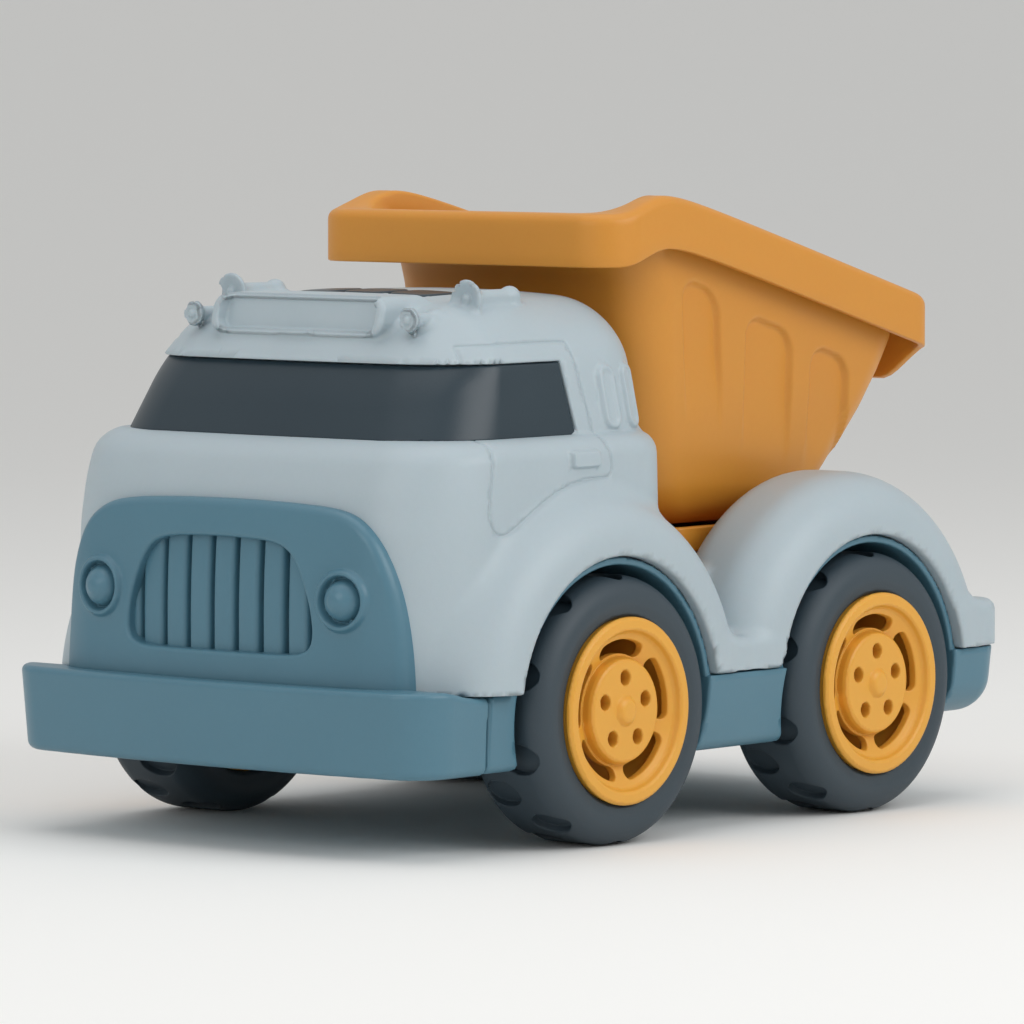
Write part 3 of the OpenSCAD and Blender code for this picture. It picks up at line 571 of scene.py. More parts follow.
def cab_lower(x, ya, z):
    """The cab below the windows: bowed nose, big upright corners, soft shoulder."""
    along = x + front_share(x) * (ya * ya / NOSE_BOW + nose_inset(z))
    plan = round_plate(along - 69.0, ya + side_inset(z), 56.0, 68.9, 22.0)
    return round_cut(plan, z - SHOULDER_Z, 6.0)


def above_roof(x, ya, z):
    """Height over the domed roof."""
    return z - (roof_crown(x) - 0.0009 * ya * ya)


def cab_upper(x, ya, z, lean=0.462, nose=111.9, tuck=0.0):
    """The cab from the windows up: leaning screen and sides under a domed roof."""
    along = x + front_share(x) * (ya * ya / SCREEN_BOW + lean * (z - 109.0))
    across = ya + 0.2245 * (z - SHOULDER_Z)
    half = 0.5 * (nose - 13.0)
    plan = round_plate(along - (13.0 + half), across, half - tuck, 62.5 - tuck, 23.0 - tuck)
    return np.maximum(round_cut(plan, above_roof(x, ya, z), 16.5), 100.0 - z)


def glass_skin(x, ya, z):
    """Outer face of the window insert: a little steeper than the cab round it."""
    return cab_upper(x, ya, z, lean=0.525, nose=111.0, tuck=0.4)


def window_zone(x, z, grow=0.0):
    """Room of the wrap-round window, from behind the doors to the screen."""
    back = 53.4 + (z - 108.5) * 0.105
    return np.maximum(span(z, 106.0, 128.2 + grow), back - grow - x)


# Line of a door pressed in the cab's side, along and up
DOOR = [
    (50.4, 132.4), (52.0, 133.3), (88.0, 133.0), (89.4, 132.0), (93.2, 112.0), (94.6, 105.0),
    (97.2, 90.5), (96.9, 87.2), (94.6, 84.3), (91.6, 83.7), (88.2, 85.0), (83.9, 87.4), (78.5, 90.3),
    (73.2, 92.8), (66.5, 95.2), (60.5, 96.6), (54.0, 97.2), (48.3, 97.2), (46.7, 98.0),
    (46.2, 100.0), (47.6, 112.0),
]
door_outline = baked_outline(DOOR, 8.0, 0.25, rounds=2)


LOUVRES_X, LOUVRES_Z = (28.0, 38.4), 118.2
CAB_SIDE_Y = 44.0  # doors, louvres and handles are pressed in only past this distance out


def vent_field(x, z):
    """Two upright rounded louvres behind each door."""
    one, two = (round_plate(x - at, z - LOUVRES_Z, 3.3, 8.6, 3.1) for at in LOUVRES_X)
    return np.minimum(one, two)


def handle_field(x, z):
    """Outline of the raised door handle."""
    return round_plate(x - 57.4, z - 102.5, 5.6, 2.2, 0.9)


# Horns on each side of the roof: mouth's X, Y and Z, length, radius of the mouth
HORNS = ((76.0, 42.0, 144.9, 18.5, 5.3), (95.8, 38.3, 139.6, 12.0, 4.4))


def horn_field(x, ya, z, bell_x, side, height, length, mouth):
    """A trumpet lying on the roof, its mouth forward and its cap behind."""
    behind = np.maximum(bell_x - x, 0.0)
    radius = mouth * (0.42 + 0.58 * np.exp(-((behind / (0.62 * mouth)) ** 2)))
    away = np.hypot(ya - side, z - height)
    tube = round_cut(away - radius, span(x, bell_x - length, bell_x), 1.1)
    dish = np.hypot(away, x - bell_x - 1.07 * mouth) - 1.29 * mouth
    knob = np.hypot(away, x - bell_x + 0.3 * mouth) - 0.34 * mouth
    cap = np.hypot(away, x - bell_x + length) - 0.56 * mouth
    return round_join(round_join(round_cut(tube, -dish, 0.5), knob, 0.3), cap, 0.8)


LAMP_BAR_LEAN, LAMP_BAR_Z = 0.27, 140.2


def lamp_bar(x, ya, z):
    """Raised housing across the front of the roof, and the slot sunk in its face."""
    face = x + LAMP_BAR_LEAN * (z - 140.0)
    block = round_cut(round_plate(ya, z - LAMP_BAR_Z, 30.6, 5.4, 4.2), span(face, 78.0, 96.4), 1.5)
    slot = round_cut(round_plate(ya, z - LAMP_BAR_Z, 27.8, 3.9, 2.8), 92.6 - face, 0.8)
    return block, slot


ARCH_RADIUS, ARCH_MIDDLE, ARCH_HALF = 58.0, 63.0, 16.4
TAIL_BAR_X = -98.0


def arch_ring(x, ya, z, axle_x):
    """One wheel arch: a thick ring with a big soft shoulder outside."""
    out = from_axle(x, z, axle_x)
    radius = np.where(ya > ARCH_MIDDLE, 15.0, 9.0)
    across = np.abs(ya - ARCH_MIDDLE) - (ARCH_HALF - radius)
    return rounded_corner(out - (ARCH_RADIUS - radius), across, radius)


def cab_shell(x, ya, z):
    """The cab with the recess that the window insert sits in."""
    recess = np.maximum(window_zone(x, z), -(glass_skin(x, ya, z) + 2.4))
    upper = round_cut(cab_upper(x, ya, z), -recess, 0.6)
    return round_join(upper, cab_lower(x, ya, z), 0.8)


def body_plain(x, y, z, seam=True):
    """Cab, four arches, running boards and rear bar as one moulding."""
    ya = np.abs(y)
    cab = cab_shell(x, ya, z)
    front, rear = (arch_ring(x, ya, z, a) for a in AXLE_X)
    middle = span(x, -34.0, 34.0)
    board = round_cut(middle, round_cut(ya - 78.3, z - 52.2, 3.2), 1.0)
    wall = round_cut(middle, round_cut(ya - 58.0, z - 68.9, 1.2), 1.0)
    between = round_join(board, wall, 4.5)
    bar = round_cut(round_plate(x - TAIL_BAR_X, ya, 19.2, 79.0, 9.0), z - 56.0, 3.2)
    body = round_join(cab, front, 4.0)
    body = round_join(body, round_join(rear, between, 2.6), 2.6)
    body = round_join(body, bar, 3.0)
    for axle in AXLE_X:
        well = np.maximum(from_axle(x, z, axle) - BODY_WELL, 48.9 - ya)
        body = round_cut(body, -well, 1.1)
    bay = np.maximum(span(x, -100.6, 12.7), np.maximum(ya - 46.6, 30.0 - z))
    body = round_cut(body, -bay, 0.6)
    return round_cut(body, SEAM_Z - z, 0.45) if seam else body


ROOF_LIGHT_X, ROOF_LIGHTS_Y = 63.3, (0.0, 16.4)
# Opening of the grille, across and up
GRILLE = [
    (0.0, 52.4), (24.0, 52.4), (31.0, 53.4), (33.0, 57.2), (32.0, 65.0), (29.0, 73.0), (25.4, 79.2),
    (19.6, 82.0), (8.0, 82.6), (0.0, 82.7),
]
grille_outline = baked_outline(GRILLE + [(-u, v) for u, v in GRILLE[-2:0:-1]], 10.0, 0.25, rounds=2)


def body_field(x, y, z):
    """The whole upper body with its door lines, louvres, handles, horns and lamp bar."""
    ya = np.abs(y)
    body = body_plain(x, y, z)
    side = soft_step((ya - CAB_SIDE_Y) / 4.0)
    groove = door_outline(x, z)
    body = body + 0.55 * np.exp(-((groove / 0.42) ** 2)) * side
    vent = vent_field(x, z)
    swell = 1.15 * soft_step(0.5 - vent / 1.5) - 0.45 * soft_step(0.5 - (vent + 1.6) / 1.1)
    body = body - swell * side
    body = body - 1.3 * soft_step(0.5 - handle_field(x, z) / 0.9) * side
    block, slot = lamp_bar(x, ya, z)
    body = round_join(body, block, 2.4)
    for horn in HORNS:
        body = round_join(body, horn_field(x, ya, z, *horn), 2.0)
    body = round_cut(body, -slot, 0.5)
    pocket = np.maximum(grille_outline(y, z) - 1.9, -(cab_lower(x, ya, z) + 3.6))
    body = np.maximum(body, -np.maximum(pocket, 100.0 - x))
    for centre in ROOF_LIGHTS_Y:
        seat = round_plate(x - ROOF_LIGHT_X, ya - centre, 7.4, 7.5, 3.6)
        body = round_cut(body, -np.maximum(seat, 141.8 - z), 0.35)
    return body


def near_details(x, y, z):
    """Where the upper body's mesh is halved once: round its pressed and raised details."""
    ya = np.abs(y)
    lines = (np.abs(door_outline(x, z)) < 1.9) & (ya > CAB_SIDE_Y)
    louvres = (vent_field(x, z) < 1.8) & (ya > CAB_SIDE_Y)
    grip = (handle_field(x, z) < 1.6) & (ya > CAB_SIDE_Y)
    roof = (x > 52.0) & (z > 132.0) & (ya < 49.0)
    frame_edge = (np.abs(window_zone(x, z)) < 2.2) & (z > 109.5)
    hot = lines | louvres | grip | roof | frame_edge
    for axle in AXLE_X:
        hot = hot | ((np.abs(from_axle(x, z, axle) - BODY_WELL) < 1.8) & (ya > 75.5))
    return hot


def near_fine_details(x, y, z):
    """Where it is halved again: the edges of those details."""
    ya = np.abs(y)
    lines = (np.abs(door_outline(x, z)) < 1.1) & (ya > CAB_SIDE_Y)
    louvres = (np.abs(vent_field(x, z) + 0.8) < 1.7) & (ya > CAB_SIDE_Y)
    grip = (np.abs(handle_field(x, z)) < 1.0) & (ya > CAB_SIDE_Y)
    horns = (np.abs(ya - 42.0) < 6.2) & (x > 55.0) & (x < 78.0) & (z > 141.0)
    horns = horns | ((np.abs(ya - 38.3) < 5.4) & (x > 80.0) & (z > 134.5))
    bar = (x > 90.5) & (z > 133.0) & (ya < 32.5)
    frame_edge = (np.abs(window_zone(x, z)) < 1.15) & (z > 110.5)
    return lines | louvres | grip | horns | bar | frame_edge


def near_horn_mouths(x, y, z):
    """Where it is halved a third time: the rims of the horns."""
    ya = np.abs(y)
    big, small = (
        (np.hypot(ya - side, z - height) < mouth + 0.9) & (np.abs(x - (bell_x - 0.7)) < 1.8)
        for bell_x, side, height, _, mouth in HORNS
    )
    return big | small


def visor_skin(x, y, z):
    """The upper cab as if it had no window recess."""
    return cab_upper(x, np.abs(y), z)


def body_above_seam(x, y, z):
    """The upper body as if it went on below its seam."""
    return body_plain(x, y, z, seam=False)


upper_body = moulded(
    "upper_body_moulding", body_field, (-119.0, -82.0, 40.0), (127.5, 82.0, 152.5), 1.76,
    finer=(near_details, near_fine_details, near_horn_mouths),
    rounded_edges=(
        (visor_skin, lambda x, y, z: -window_zone(x, z), 0.6),
        (body_above_seam, lambda x, y, z: SEAM_Z - z, 0.45),
    ),
)
add_piece(
    "upper_body_moulding", upper_body, pale_polypropylene, "truck_body", "pale_body", "upper_body"
)


def window_edge(x, z):
    """Outline of the window insert, just inside its recess."""
    return np.maximum(window_zone(x, z, -0.3), 108.45 - z)


def window_field(x, y, z):
    """Wrap-round insert, 2.3 mm thick."""
    glass = glass_skin(x, np.abs(y), z)
    return np.maximum(round_cut(window_edge(x, z), glass + 0.15, 0.5), -(glass + 2.3))


window = moulded(
    "window_insert", window_field, (48.0, -67.0, 105.0), (114.0, 67.0, 132.0), 0.78,
    finer=(lambda x, y, z: np.abs(window_edge(x, z)) < 0.9,), even=1,
)
add_piece("window_insert", window, slate_window_plastic, "truck_body", "dark_window", "window_band")


def roof_light_field(x, y, z):
    """Three square lenses in a row, a little proud of the roof."""
    ya = np.abs(y)
    top = above_roof(x, ya, z) - 0.35
    light = FAR
    for centre in ROOF_LIGHTS_Y:
        one = round_cut(round_plate(x - ROOF_LIGHT_X, ya - centre, 7.1, 7.2, 3.3), top, 0.8)
        light = np.minimum(light, one)
    return np.maximum(light, 142.0 - z)


lights = moulded(
    "roof_light_lenses", roof_light_field, (53.0, -27.0, 139.0), (73.0, 27.0, 149.0), 0.6
)
add_piece(
    "roof_light_lenses", lights, slate_window_plastic, "truck_body", "dark_window", "roof_lights"
)


# ---------------------------------------------------------------- nose panel

# Half of the nose panel's outline, across and up
PANEL = [
    (60.3, 38.0), (60.2, 46.0), (59.6, 57.0), (58.0, 68.0), (55.6, 76.0), (51.8, 83.5), (46.0, 88.8),
    (38.0, 91.4), (20.0, 92.4), (0.0, 92.7),
]
panel_outline = baked_outline(PANEL + [(-u, v) for u, v in PANEL[-2::-1]], 10.0, 0.3, rounds=2)
# Relief of a headlamp, from its domed middle out through a groove and a ring
lamp_relief = soft_curve(
    [0, 1.6, 3.0, 4.2, 5.0, 5.45, 5.6, 6.2, 6.35, 6.9, 7.5, 8.0, 8.5, 9.5],
    [3.9, 3.7, 3.0, 2.0, 0.9, -0.3, -1.0, -1.0, 0.7, 1.7, 1.75, 1.2, 0.1, 0], 0.14,
)


def from_lamp(y, z):
    """Distance from the middle of the headlamp on its side."""
    return np.hypot(np.abs(y) - 43.0, z - 67.6)


def panel_field(x, y, z):
    """Plate that follows the nose, with lamps raised on it and a grille sunk in it."""
    nose = cab_lower(x, np.abs(y), z)
    lamps = lamp_relief(from_lamp(y, z))
    swell = 3.5 + 0.6 * soft_step((60.0 - z) / 18.0)
    outer = nose - swell - lamps
    plate = round_cut(outer, panel_outline(y, z), 2.1)
    plate = np.maximum(plate, -2.0 - nose)
    well = np.maximum(np.maximum(grille_outline(y, z) - 1.6, nose - 2.0), -(nose + 3.3))
    plate = np.minimum(plate, well)
    opening = round_cut(grille_outline(y, z), -2.4 - nose, 0.3)
    plate = round_cut(plate, -opening, 1.2)
    return np.maximum(np.maximum(plate, 43.5 - z), 90.0 - x)


panel = moulded(
    "nose_panel", panel_field, (100.0, -64.0, 41.0), (136.0, 64.0, 96.0), 0.92,
    finer=(
        lambda x, y, z: (from_lamp(y, z) < 9.4) | ((grille_outline(y, z) < 1.8) & (x > 120)),
    ),
)
add_piece("nose_panel", panel, teal_polypropylene, "truck_body", "teal_body", "grille_panel")


def slat_row_tree():
    """Upright ribs with rounded edges in a row: the row bows back to both sides, as the nose
    does, and each rib leans back with the nose above its straight foot."""
    tree = bpy.data.node_groups.new("grille_slat_row", "GeometryNodeTree")
    for name, kind in (
        ("Slats", "Int"), ("Pitch", "Float"), ("Width", "Float"), ("Depth", "Float"),
        ("Height", "Float"), ("Edge Radius", "Float"), ("Bow", "Float"), ("Lean", "Float"),
        ("Straight Foot", "Float"), ("Finish", "Material"),
    ):
        tree.interface.new_socket(name=name, in_out="INPUT", socket_type="NodeSocket" + kind)
    tree.interface.new_socket(name="Geometry", in_out="OUTPUT", socket_type="NodeSocketGeometry")
    given = add_node(tree, "NodeGroupInput").outputs
    where = add_node(
        tree, "ShaderNodeSeparateXYZ", None, None,
        {0: add_node(tree, "GeometryNodeInputPosition").outputs[0]},
    ).outputs

    def sum_of(operation, one, two):
        values = {i: v for i, v in enumerate((one, two)) if isinstance(v, float)}
        links = {i: v for i, v in enumerate((one, two)) if not isinstance(v, float)}
        return add_node(tree, "ShaderNodeMath", {"operation": operation}, values, links).outputs[0]

    spaces = sum_of("SUBTRACT", given["Slats"], 1.0)
    first = sum_of("MULTIPLY", sum_of("MULTIPLY", spaces, given["Pitch"]), -0.5)
    start = add_node(tree, "ShaderNodeCombineXYZ", None, None, {1: first})
    pace = add_node(tree, "ShaderNodeCombineXYZ", None, None, {1: given["Pitch"]})
    row = add_node(
        tree, "GeometryNodeMeshLine", {"mode": "OFFSET"}, None,
        {"Count": given["Slats"], "Start Location": start.outputs[0], "Offset": pace.outputs[0]},
    )
    bow = sum_of("MULTIPLY", sum_of("MULTIPLY", where["Y"], where["Y"]), given["Bow"])
    bowed = add_node(
        tree, "GeometryNodeSetPosition", None, None,
        {
            "Geometry": row.outputs[0],
            "Offset": add_node(tree, "ShaderNodeCombineXYZ", None, None, {0: bow}).outputs[0],
        },
    )
    top = add_node(tree, "ShaderNodeCombineXYZ", None, None, {2: given["Height"]})
    path = add_node(tree, "GeometryNodeCurvePrimitiveLine", None, None, {"End": top.outputs[0]})
    path = add_node(
        tree, "GeometryNodeResampleCurve", None, {"Count": 18}, {"Curve": path.outputs[0]}
    )
    above = sum_of("MAXIMUM", sum_of("SUBTRACT", where["Z"], given["Straight Foot"]), 0.0)
    lean = sum_of("MULTIPLY", sum_of("MULTIPLY", above, above), given["Lean"])
    outline = add_node(
        tree, "GeometryNodeCurvePrimitiveQuadrilateral", None, None,
        {"Width": given["Depth"], "Height": given["Width"]},
    )
    outline = add_node(
        tree, "GeometryNodeFilletCurve", {"mode": "POLY"}, {"Count": 5},
        {"Curve": outline.outputs[0], "Radius": given["Edge Radius"]},
    )
    rib = add_node(
        tree, "GeometryNodeCurveToMesh", None, {"Fill Caps": True},
        {"Curve": path.outputs[0], "Profile Curve": outline.outputs[0]},
    )
    rib = add_node(
        tree, "GeometryNodeSetPosition", None, None,
        {
            "Geometry": rib.outputs[0],
            "Offset": add_node(tree, "ShaderNodeCombineXYZ", None, None, {0: lean}).outputs[0],
        },
    )
    placed = add_node(
        tree, "GeometryNodeInstanceOnPoints", None, None,
        {"Points": bowed.outputs[0], "Instance": rib.outputs[0]},
    )
    solid = add_node(tree, "GeometryNodeRealizeInstances", None, None, {0: placed.outputs[0]})
    done = add_node(
        tree, "GeometryNodeSetMaterial", None, None,
        {"Geometry": solid.outputs[0], "Material": given["Finish"]},
    )
    add_node(tree, "NodeGroupOutput", None, None, {"Geometry": done.outputs[0]})
    return tree


def grown(name, tree, sizes):
    """Runs a tree once with its sizes and keeps the result as a plain mesh."""
    holder = bpy.data.objects.new(name, bpy.data.meshes.new(name))
    bpy.context.scene.collection.objects.link(holder)
    modifier = holder.modifiers.new(name, "NODES")
    modifier.node_group = tree
    for socket in tree.interface.items_tree:
        if socket.in_out == "INPUT":
            modifier[socket.identifier] = sizes[socket.name]
    graph = bpy.context.evaluated_depsgraph_get()
    mesh = bpy.data.meshes.new_from_object(holder.evaluated_get(graph))
    holder.modifiers.remove(modifier)
    bpy.data.objects.remove(holder)
    return mesh


slats = grown("grille_slats", slat_row_tree(), {
    "Slats": 9, "Pitch": 8.6 * MM, "Width": 7.1 * MM, "Depth": 5.0 * MM, "Height": 33.5 * MM,
    "Edge Radius": 1.5 * MM, "Bow": -1.0, "Lean": -1.75, "Straight Foot": 9.0 * MM,
    "Finish": teal_polypropylene,
})
slats.transform(Matrix.Translation(((123.1 - X_SHIFT) * MM, 0.0, 51.0 * MM)))
slats.shade_smooth()
slats.set_sharp_from_angle(angle=math.radians(40))
add_piece("grille_slats", slats, teal_polypropylene, "truck_body", "teal_body", "grille_panel")


# ---------------------------------------------------------------- bumper and chassis


def bumper_field(x, y, z):
    """Bar across the nose with drafted sides, cut to sit round the cab and the chassis."""
    ya = np.abs(y)
    along = x + front_share(x) * ya * ya / NOSE_BOW
    draft = 0.06 * (45.0 - z)
    plan = round_plate(along - 90.0, ya, 46.0 - draft, 75.0 - draft, 11.5)
    top = 42.6 + 2.4 * soft_step((x - 108.0) / 15.0)
    block = round_cut(round_cut(plan, z - top, 1.8), 22.1 - z, 2.2)
    block = round_cut(block, 104.6 - x, 0.5)
    cab = round_plate(x + ya * ya / NOSE_BOW - 69.0, ya, 61.0, 70.0, 24.0)
    return round_cut(block, -np.maximum(cab, 42.4 - z), 0.5)


bumper = moulded(
    "front_bumper_moulding", bumper_field, (102.0, -77.5, 20.0), (138.5, 77.5, 47.5), 0.95,
    finer=(lambda x, y, z: (z > 42.5) & (x > 110),), even=1,
)
add_piece(
    "front_bumper_moulding", bumper, teal_polypropylene, "truck_body", "teal_body", "front_bumper"
)

CHASSIS_TOP = SEAM_Z - 0.35
BOSS_X, BOSS_Y = -107.0, 34.0
SCREW_POSTS = ((103.0, 36.0), (0.0, 54.5), (BOSS_X, BOSS_Y), (-20.0, 30.0), (-83.0, 26.0))


def chassis_block(x, y, z):
    """Sills, tail, nose and the flat middle, with bosses for the two rear screws."""
    ya = np.abs(y)
    drop = SEAM_Z - 0.4 - z
    sill = round_cut(span(x, -20.0, 20.0), round_cut(ya + 0.16 * drop - 78.6, 22.0 - z, 3.0), 0.6)
    tail_plan = round_plate(x - TAIL_BAR_X, ya + 0.12 * drop, 18.2, 78.6, 9.0)
    tail = round_cut(tail_plan, 24.0 - z, 9.5)
    nose = round_cut(span(x, 80.0, 104.1), round_cut(ya + 0.06 * drop - 74.9, 22.3 - z, 2.2), 0.5)
    middle = round_cut(round_plate(x - 1.0, ya, 111.2, 52.2, 2.0), 22.0 - z, 1.2)
    body = round_join(np.minimum(np.minimum(sill, tail), nose), middle, 1.2)
    boss = np.maximum(np.hypot(x - BOSS_X, ya - BOSS_Y) - 5.2, np.maximum(22.4 - z, z - 34.0))
    return round_join(body, boss, 0.8)


def chassis_field(x, y, z):
    """Tub of the chassis: its block, four wheel liners, bearings and screw holes."""
    ya = np.abs(y)
    body = round_cut(chassis_block(x, y, z), z - CHASSIS_TOP, 0.35)
    for axle in AXLE_X:
        out = from_axle(x, z, axle)
        reach = np.where((x > 88.0) & (z < 43.5), 73.5, 77.0)
        liner = np.maximum(out - 40.7, np.maximum(np.maximum(49.2 - ya, ya - reach), 34.0 - z))
        body = np.minimum(body, liner)
        body = round_cut(body, -np.maximum(out - LINER_WELL, 52.4 - ya), 0.8)
        body = np.maximum(body, -(out - 2.3))
    for px, py in SCREW_POSTS:
        away = np.hypot(x - px, ya - py)
        body = round_cut(body, -np.maximum(away - 3.1, z - 23.9), 0.3)
    keel = np.maximum(round_plate(x, ya, 92.0, 22.0, 6.0), z - 22.8)
    return round_cut(body, -keel, 0.5)


def near_screws(x, y, z):
    """Round the screw holes in the underside."""
    ya = np.abs(y)
    hot = z > FAR
    for px, py in SCREW_POSTS:
        hot = hot | ((np.hypot(x - px, ya - py) < 5.0) & (z < 26.0))
    return hot


def from_liner(x, z):
    """How far a place is outside the opening of the nearest wheel."""
    return from_axle(np.abs(x), z, AXLE_X[0]) - LINER_WELL


def near_sill_ends(x, y, z):
    """Along the seam and round the wheel openings, where the outside shows."""
    return (np.abs(y) > 66.0) & ((np.abs(from_liner(x, z)) < 1.8) | (np.abs(z - SEAM_Z) < 1.6))


chassis = moulded(
    "chassis_moulding", chassis_field, (-119.0, -81.5, 19.5), (115.5, 81.5, 79.0), 1.45,
    finer=(lambda x, y, z: near_screws(x, y, z) | near_sill_ends(x, y, z),), even=1,
    rounded_edges=(
        (chassis_block, lambda x, y, z: z - CHASSIS_TOP, 0.35),
        (
            lambda x, y, z: np.maximum(chassis_block(x, y, z), z - CHASSIS_TOP),
            lambda x, y, z: -from_liner(x, z), 0.8,
        ),
    ),
)
add_piece("chassis_moulding", chassis, teal_polypropylene, "truck_body", "teal_body", "chassis_tub")


DECK_REAR, DECK_FRONT, DECK_HALF = -83.0, 12.4, 46.0
EAR = (40.0, 43.8)  # the deck's hinge ears, from and to in Y, on both sides
LUG = (34.5, 39.4)  # the bed foot's hinge lugs, inside the ears


def deck_field(x, y, z):
    """Deck between the arches, its curved rear apron and its two hinge ears."""
    ya = np.abs(y)
    narrow = round_cut(span(x, DECK_REAR, DECK_FRONT), ya - DECK_HALF, 0.5)
    wide = np.maximum(span(x, -13.0, DECK_FRONT), ya - 56.2)
    for axle in AXLE_X:
        ring = np.maximum(from_axle(x, z, axle) - (ARCH_RADIUS + 1.0), 46.2 - ya)
        wide = np.maximum(wide, -ring)
    top = round_cut(np.minimum(narrow, wide), span(z, 69.3, 72.0), 0.5)
    bend = np.hypot(np.minimum(x - DECK_REAR, 0.0) / 17.4, np.maximum(z - 57.0, 0.0) / 15.0)
    shell = np.abs((bend - 1.0) * 15.0 + 1.2) - 1.2
    behind = np.maximum(shell, x - (DECK_REAR + 0.5))
    apron = np.maximum(behind, np.maximum(ya - DECK_HALF, 49.5 - z))
    ear = round_cut(from_hinge(x, z) - 4.4, span(ya, *EAR), 0.5)
    stem = np.maximum(np.maximum(span(x, -79.4, -70.6), span(z, 71.0, HINGE_Z)), span(ya, *EAR))
    return np.minimum(np.minimum(top, apron), np.minimum(ear, stem))


deck = moulded(
    "deck_moulding", deck_field, (-103.0, -59.0, 47.5), (14.5, 59.0, 83.5), 1.12, even=1
)
add_piece("deck_moulding", deck, mustard_polypropylene, "truck_body", "mustard_body", "deck_plate")


# ---------------------------------------------------------------- load bed

BED_FRONT, BED_REAR, BED_HALF, BED_FLOOR, BED_SKIN = 30.0, TAIL_X, 54.5, 79.5, 2.2
RIM_HEIGHT, RIM_SLOPE, RIM_DROP, RIM_ROUND = 166.5, 0.27, 14.5, 2.9
RIM_OVERHANG = 7.0  # of the rim past the side walls
# The walls by the share of their height, 0 at the floor and 1 at the rim: X of the front wall,
# how far the rear wall stands in from the rim, and how far the sides are tucked in
wall_front = soft_curve(
    [0, 0.03, 0.07, 0.13, 0.22, 0.38, 0.58, 0.74, 0.83, 0.9, 0.955, 1],
    [-14, -8.5, -4, -0.5, 2, 4.2, 5.6, 6.2, 8.2, 12, 17.5, 23], 0.012,
)
wall_rear = soft_curve(
    [0, 0.04, 0.1, 0.2, 0.34, 0.5, 0.68, 0.84, 1], [54, 48, 42, 35, 27.5, 20, 13, 8, 5.5], 0.02
)
wall_tuck = soft_curve(
    [0, 0.02, 0.06, 0.12, 0.25, 0.5, 0.8, 1], [16, 12, 8, 5.4, 3.6, 1.8, 0.6, 0], 0.012
)


def rim_top(x, y):
    """Height of the rim: level in front, a hump on each side, then down to the rear."""
    back = BED_FRONT - x
    side = soft_step((np.abs(y) - 30.0) / 16.0)
    fall = np.where(back > 26.0, np.sqrt(np.maximum(back - 26.0, 0.0) ** 2 + 100.0) - 10.0, 0.0)
    hump = RIM_HEIGHT + 4.6 * soft_step((back - 6.0) / 20.0) - RIM_SLOPE * fall
    middle = RIM_HEIGHT - RIM_SLOPE * np.maximum(back - 20.0, 0.0)
    return side * hump + (1.0 - side) * middle


SIDE_POINTS, END_POINTS, CORNER_POINTS = 138, 32, 14


def bed_outline(front, rear, half, round_front, round_rear):
    """Rounded outline round the bed that narrows slightly to the rear."""
    taper = 0.034
    turns = np.linspace(0.0, math.pi / 2, CORNER_POINTS)
    points = []
    for corner in range(4):
        ahead, left = corner in (0, 3), corner < 2
        r = round_front if ahead else round_rear
        cx = front - r if ahead else rear + r
        cy = (1 if left else -1) * (half - taper * (front - cx) - r)
        a = turns + corner * math.pi / 2
        points += list(zip(cx + r * np.cos(a), cy + r * np.sin(a)))
        if corner in (0, 2):
            xs = np.linspace(front - round_front, rear + round_rear, SIDE_POINTS + 2)[1:-1]
            if corner == 2:
                xs = xs[::-1]
            points += [(x, (1 if corner == 0 else -1) * (half - taper * (front - x))) for x in xs]
        else:
            start = points[-1][1]
            if corner == 3:
                start = -(half - taper * round_front - round_front)
            ys = np.linspace(start, -start, END_POINTS + 2)[1:-1]
            points += [(front if corner == 3 else rear, y) for y in ys]
    return np.array(points)


# Pressed panels of each side: middle in X, half width, top and slant
POCKETS = ((-19.5, 8.2, 146.0, -0.11), (-52.2, 10.6, 134.5, -0.02), (-81.3, 8.7, 125.5, 0.0))


def pocket_depth(x, z):
    """Panels pressed into the bed's sides: crisp at the top, fading out below."""
    deep = 0.0
    for centre, half, top, slant in POCKETS:
        top = top + RIM_SLOPE * (x - centre)
        middle = centre + slant * (top - z)
        edge = round_plate(x - middle, z - (top - 30.0), half, 30.0, 6.5)
        fade = soft_step((z - (top - 40.0)) / 26.0)
        deep = np.maximum(deep, 1.7 * soft_step(0.5 - edge / 1.4) * fade)
    return deep


def wall_ring(t, inward, lift):
    """One turn round the wall at the share t of its height, moved inwards and up."""
    half = BED_HALF - RIM_OVERHANG - wall_tuck(t) - inward
    corner_front = 12.0 - 0.5 * inward + 3.0 * (1.0 - t)
    corner_rear = 9.0 - 0.5 * inward + 3.0 * (1.0 - t)
    front, rear = wall_front(t) - inward, BED_REAR + wall_rear(t) + inward
    flat = bed_outline(front, rear, half, corner_front, corner_rear)
    top = rim_top(flat[:, 0], flat[:, 1]) - BED_SKIN
    z = BED_FLOOR + lift + t * (top - BED_FLOOR - lift)
    ring = np.column_stack([flat, z])
    if inward == 0:
        push = pocket_depth(ring[:, 0], ring[:, 2]) * soft_step((np.abs(flat[:, 1]) - 30.0) / 8.0)
        ring[:, 1] -= np.sign(ring[:, 1]) * push
    return ring


def lip_ring(inward, drop):
    """One turn round the rim, moved inwards from its outer face and down from its top."""
    front, rear, half = BED_FRONT - inward, BED_REAR + inward, BED_HALF - inward
    flat = bed_outline(front, rear, half, 13.0 - inward, 9.0 - inward)
    return np.column_stack([flat, rim_top(flat[:, 0], flat[:, 1]) - drop])


def shares(*stretches):
    """Rising shares of the wall's height, from rows of start, end and count."""
    return np.concatenate([np.linspace(*stretch) for stretch in stretches])


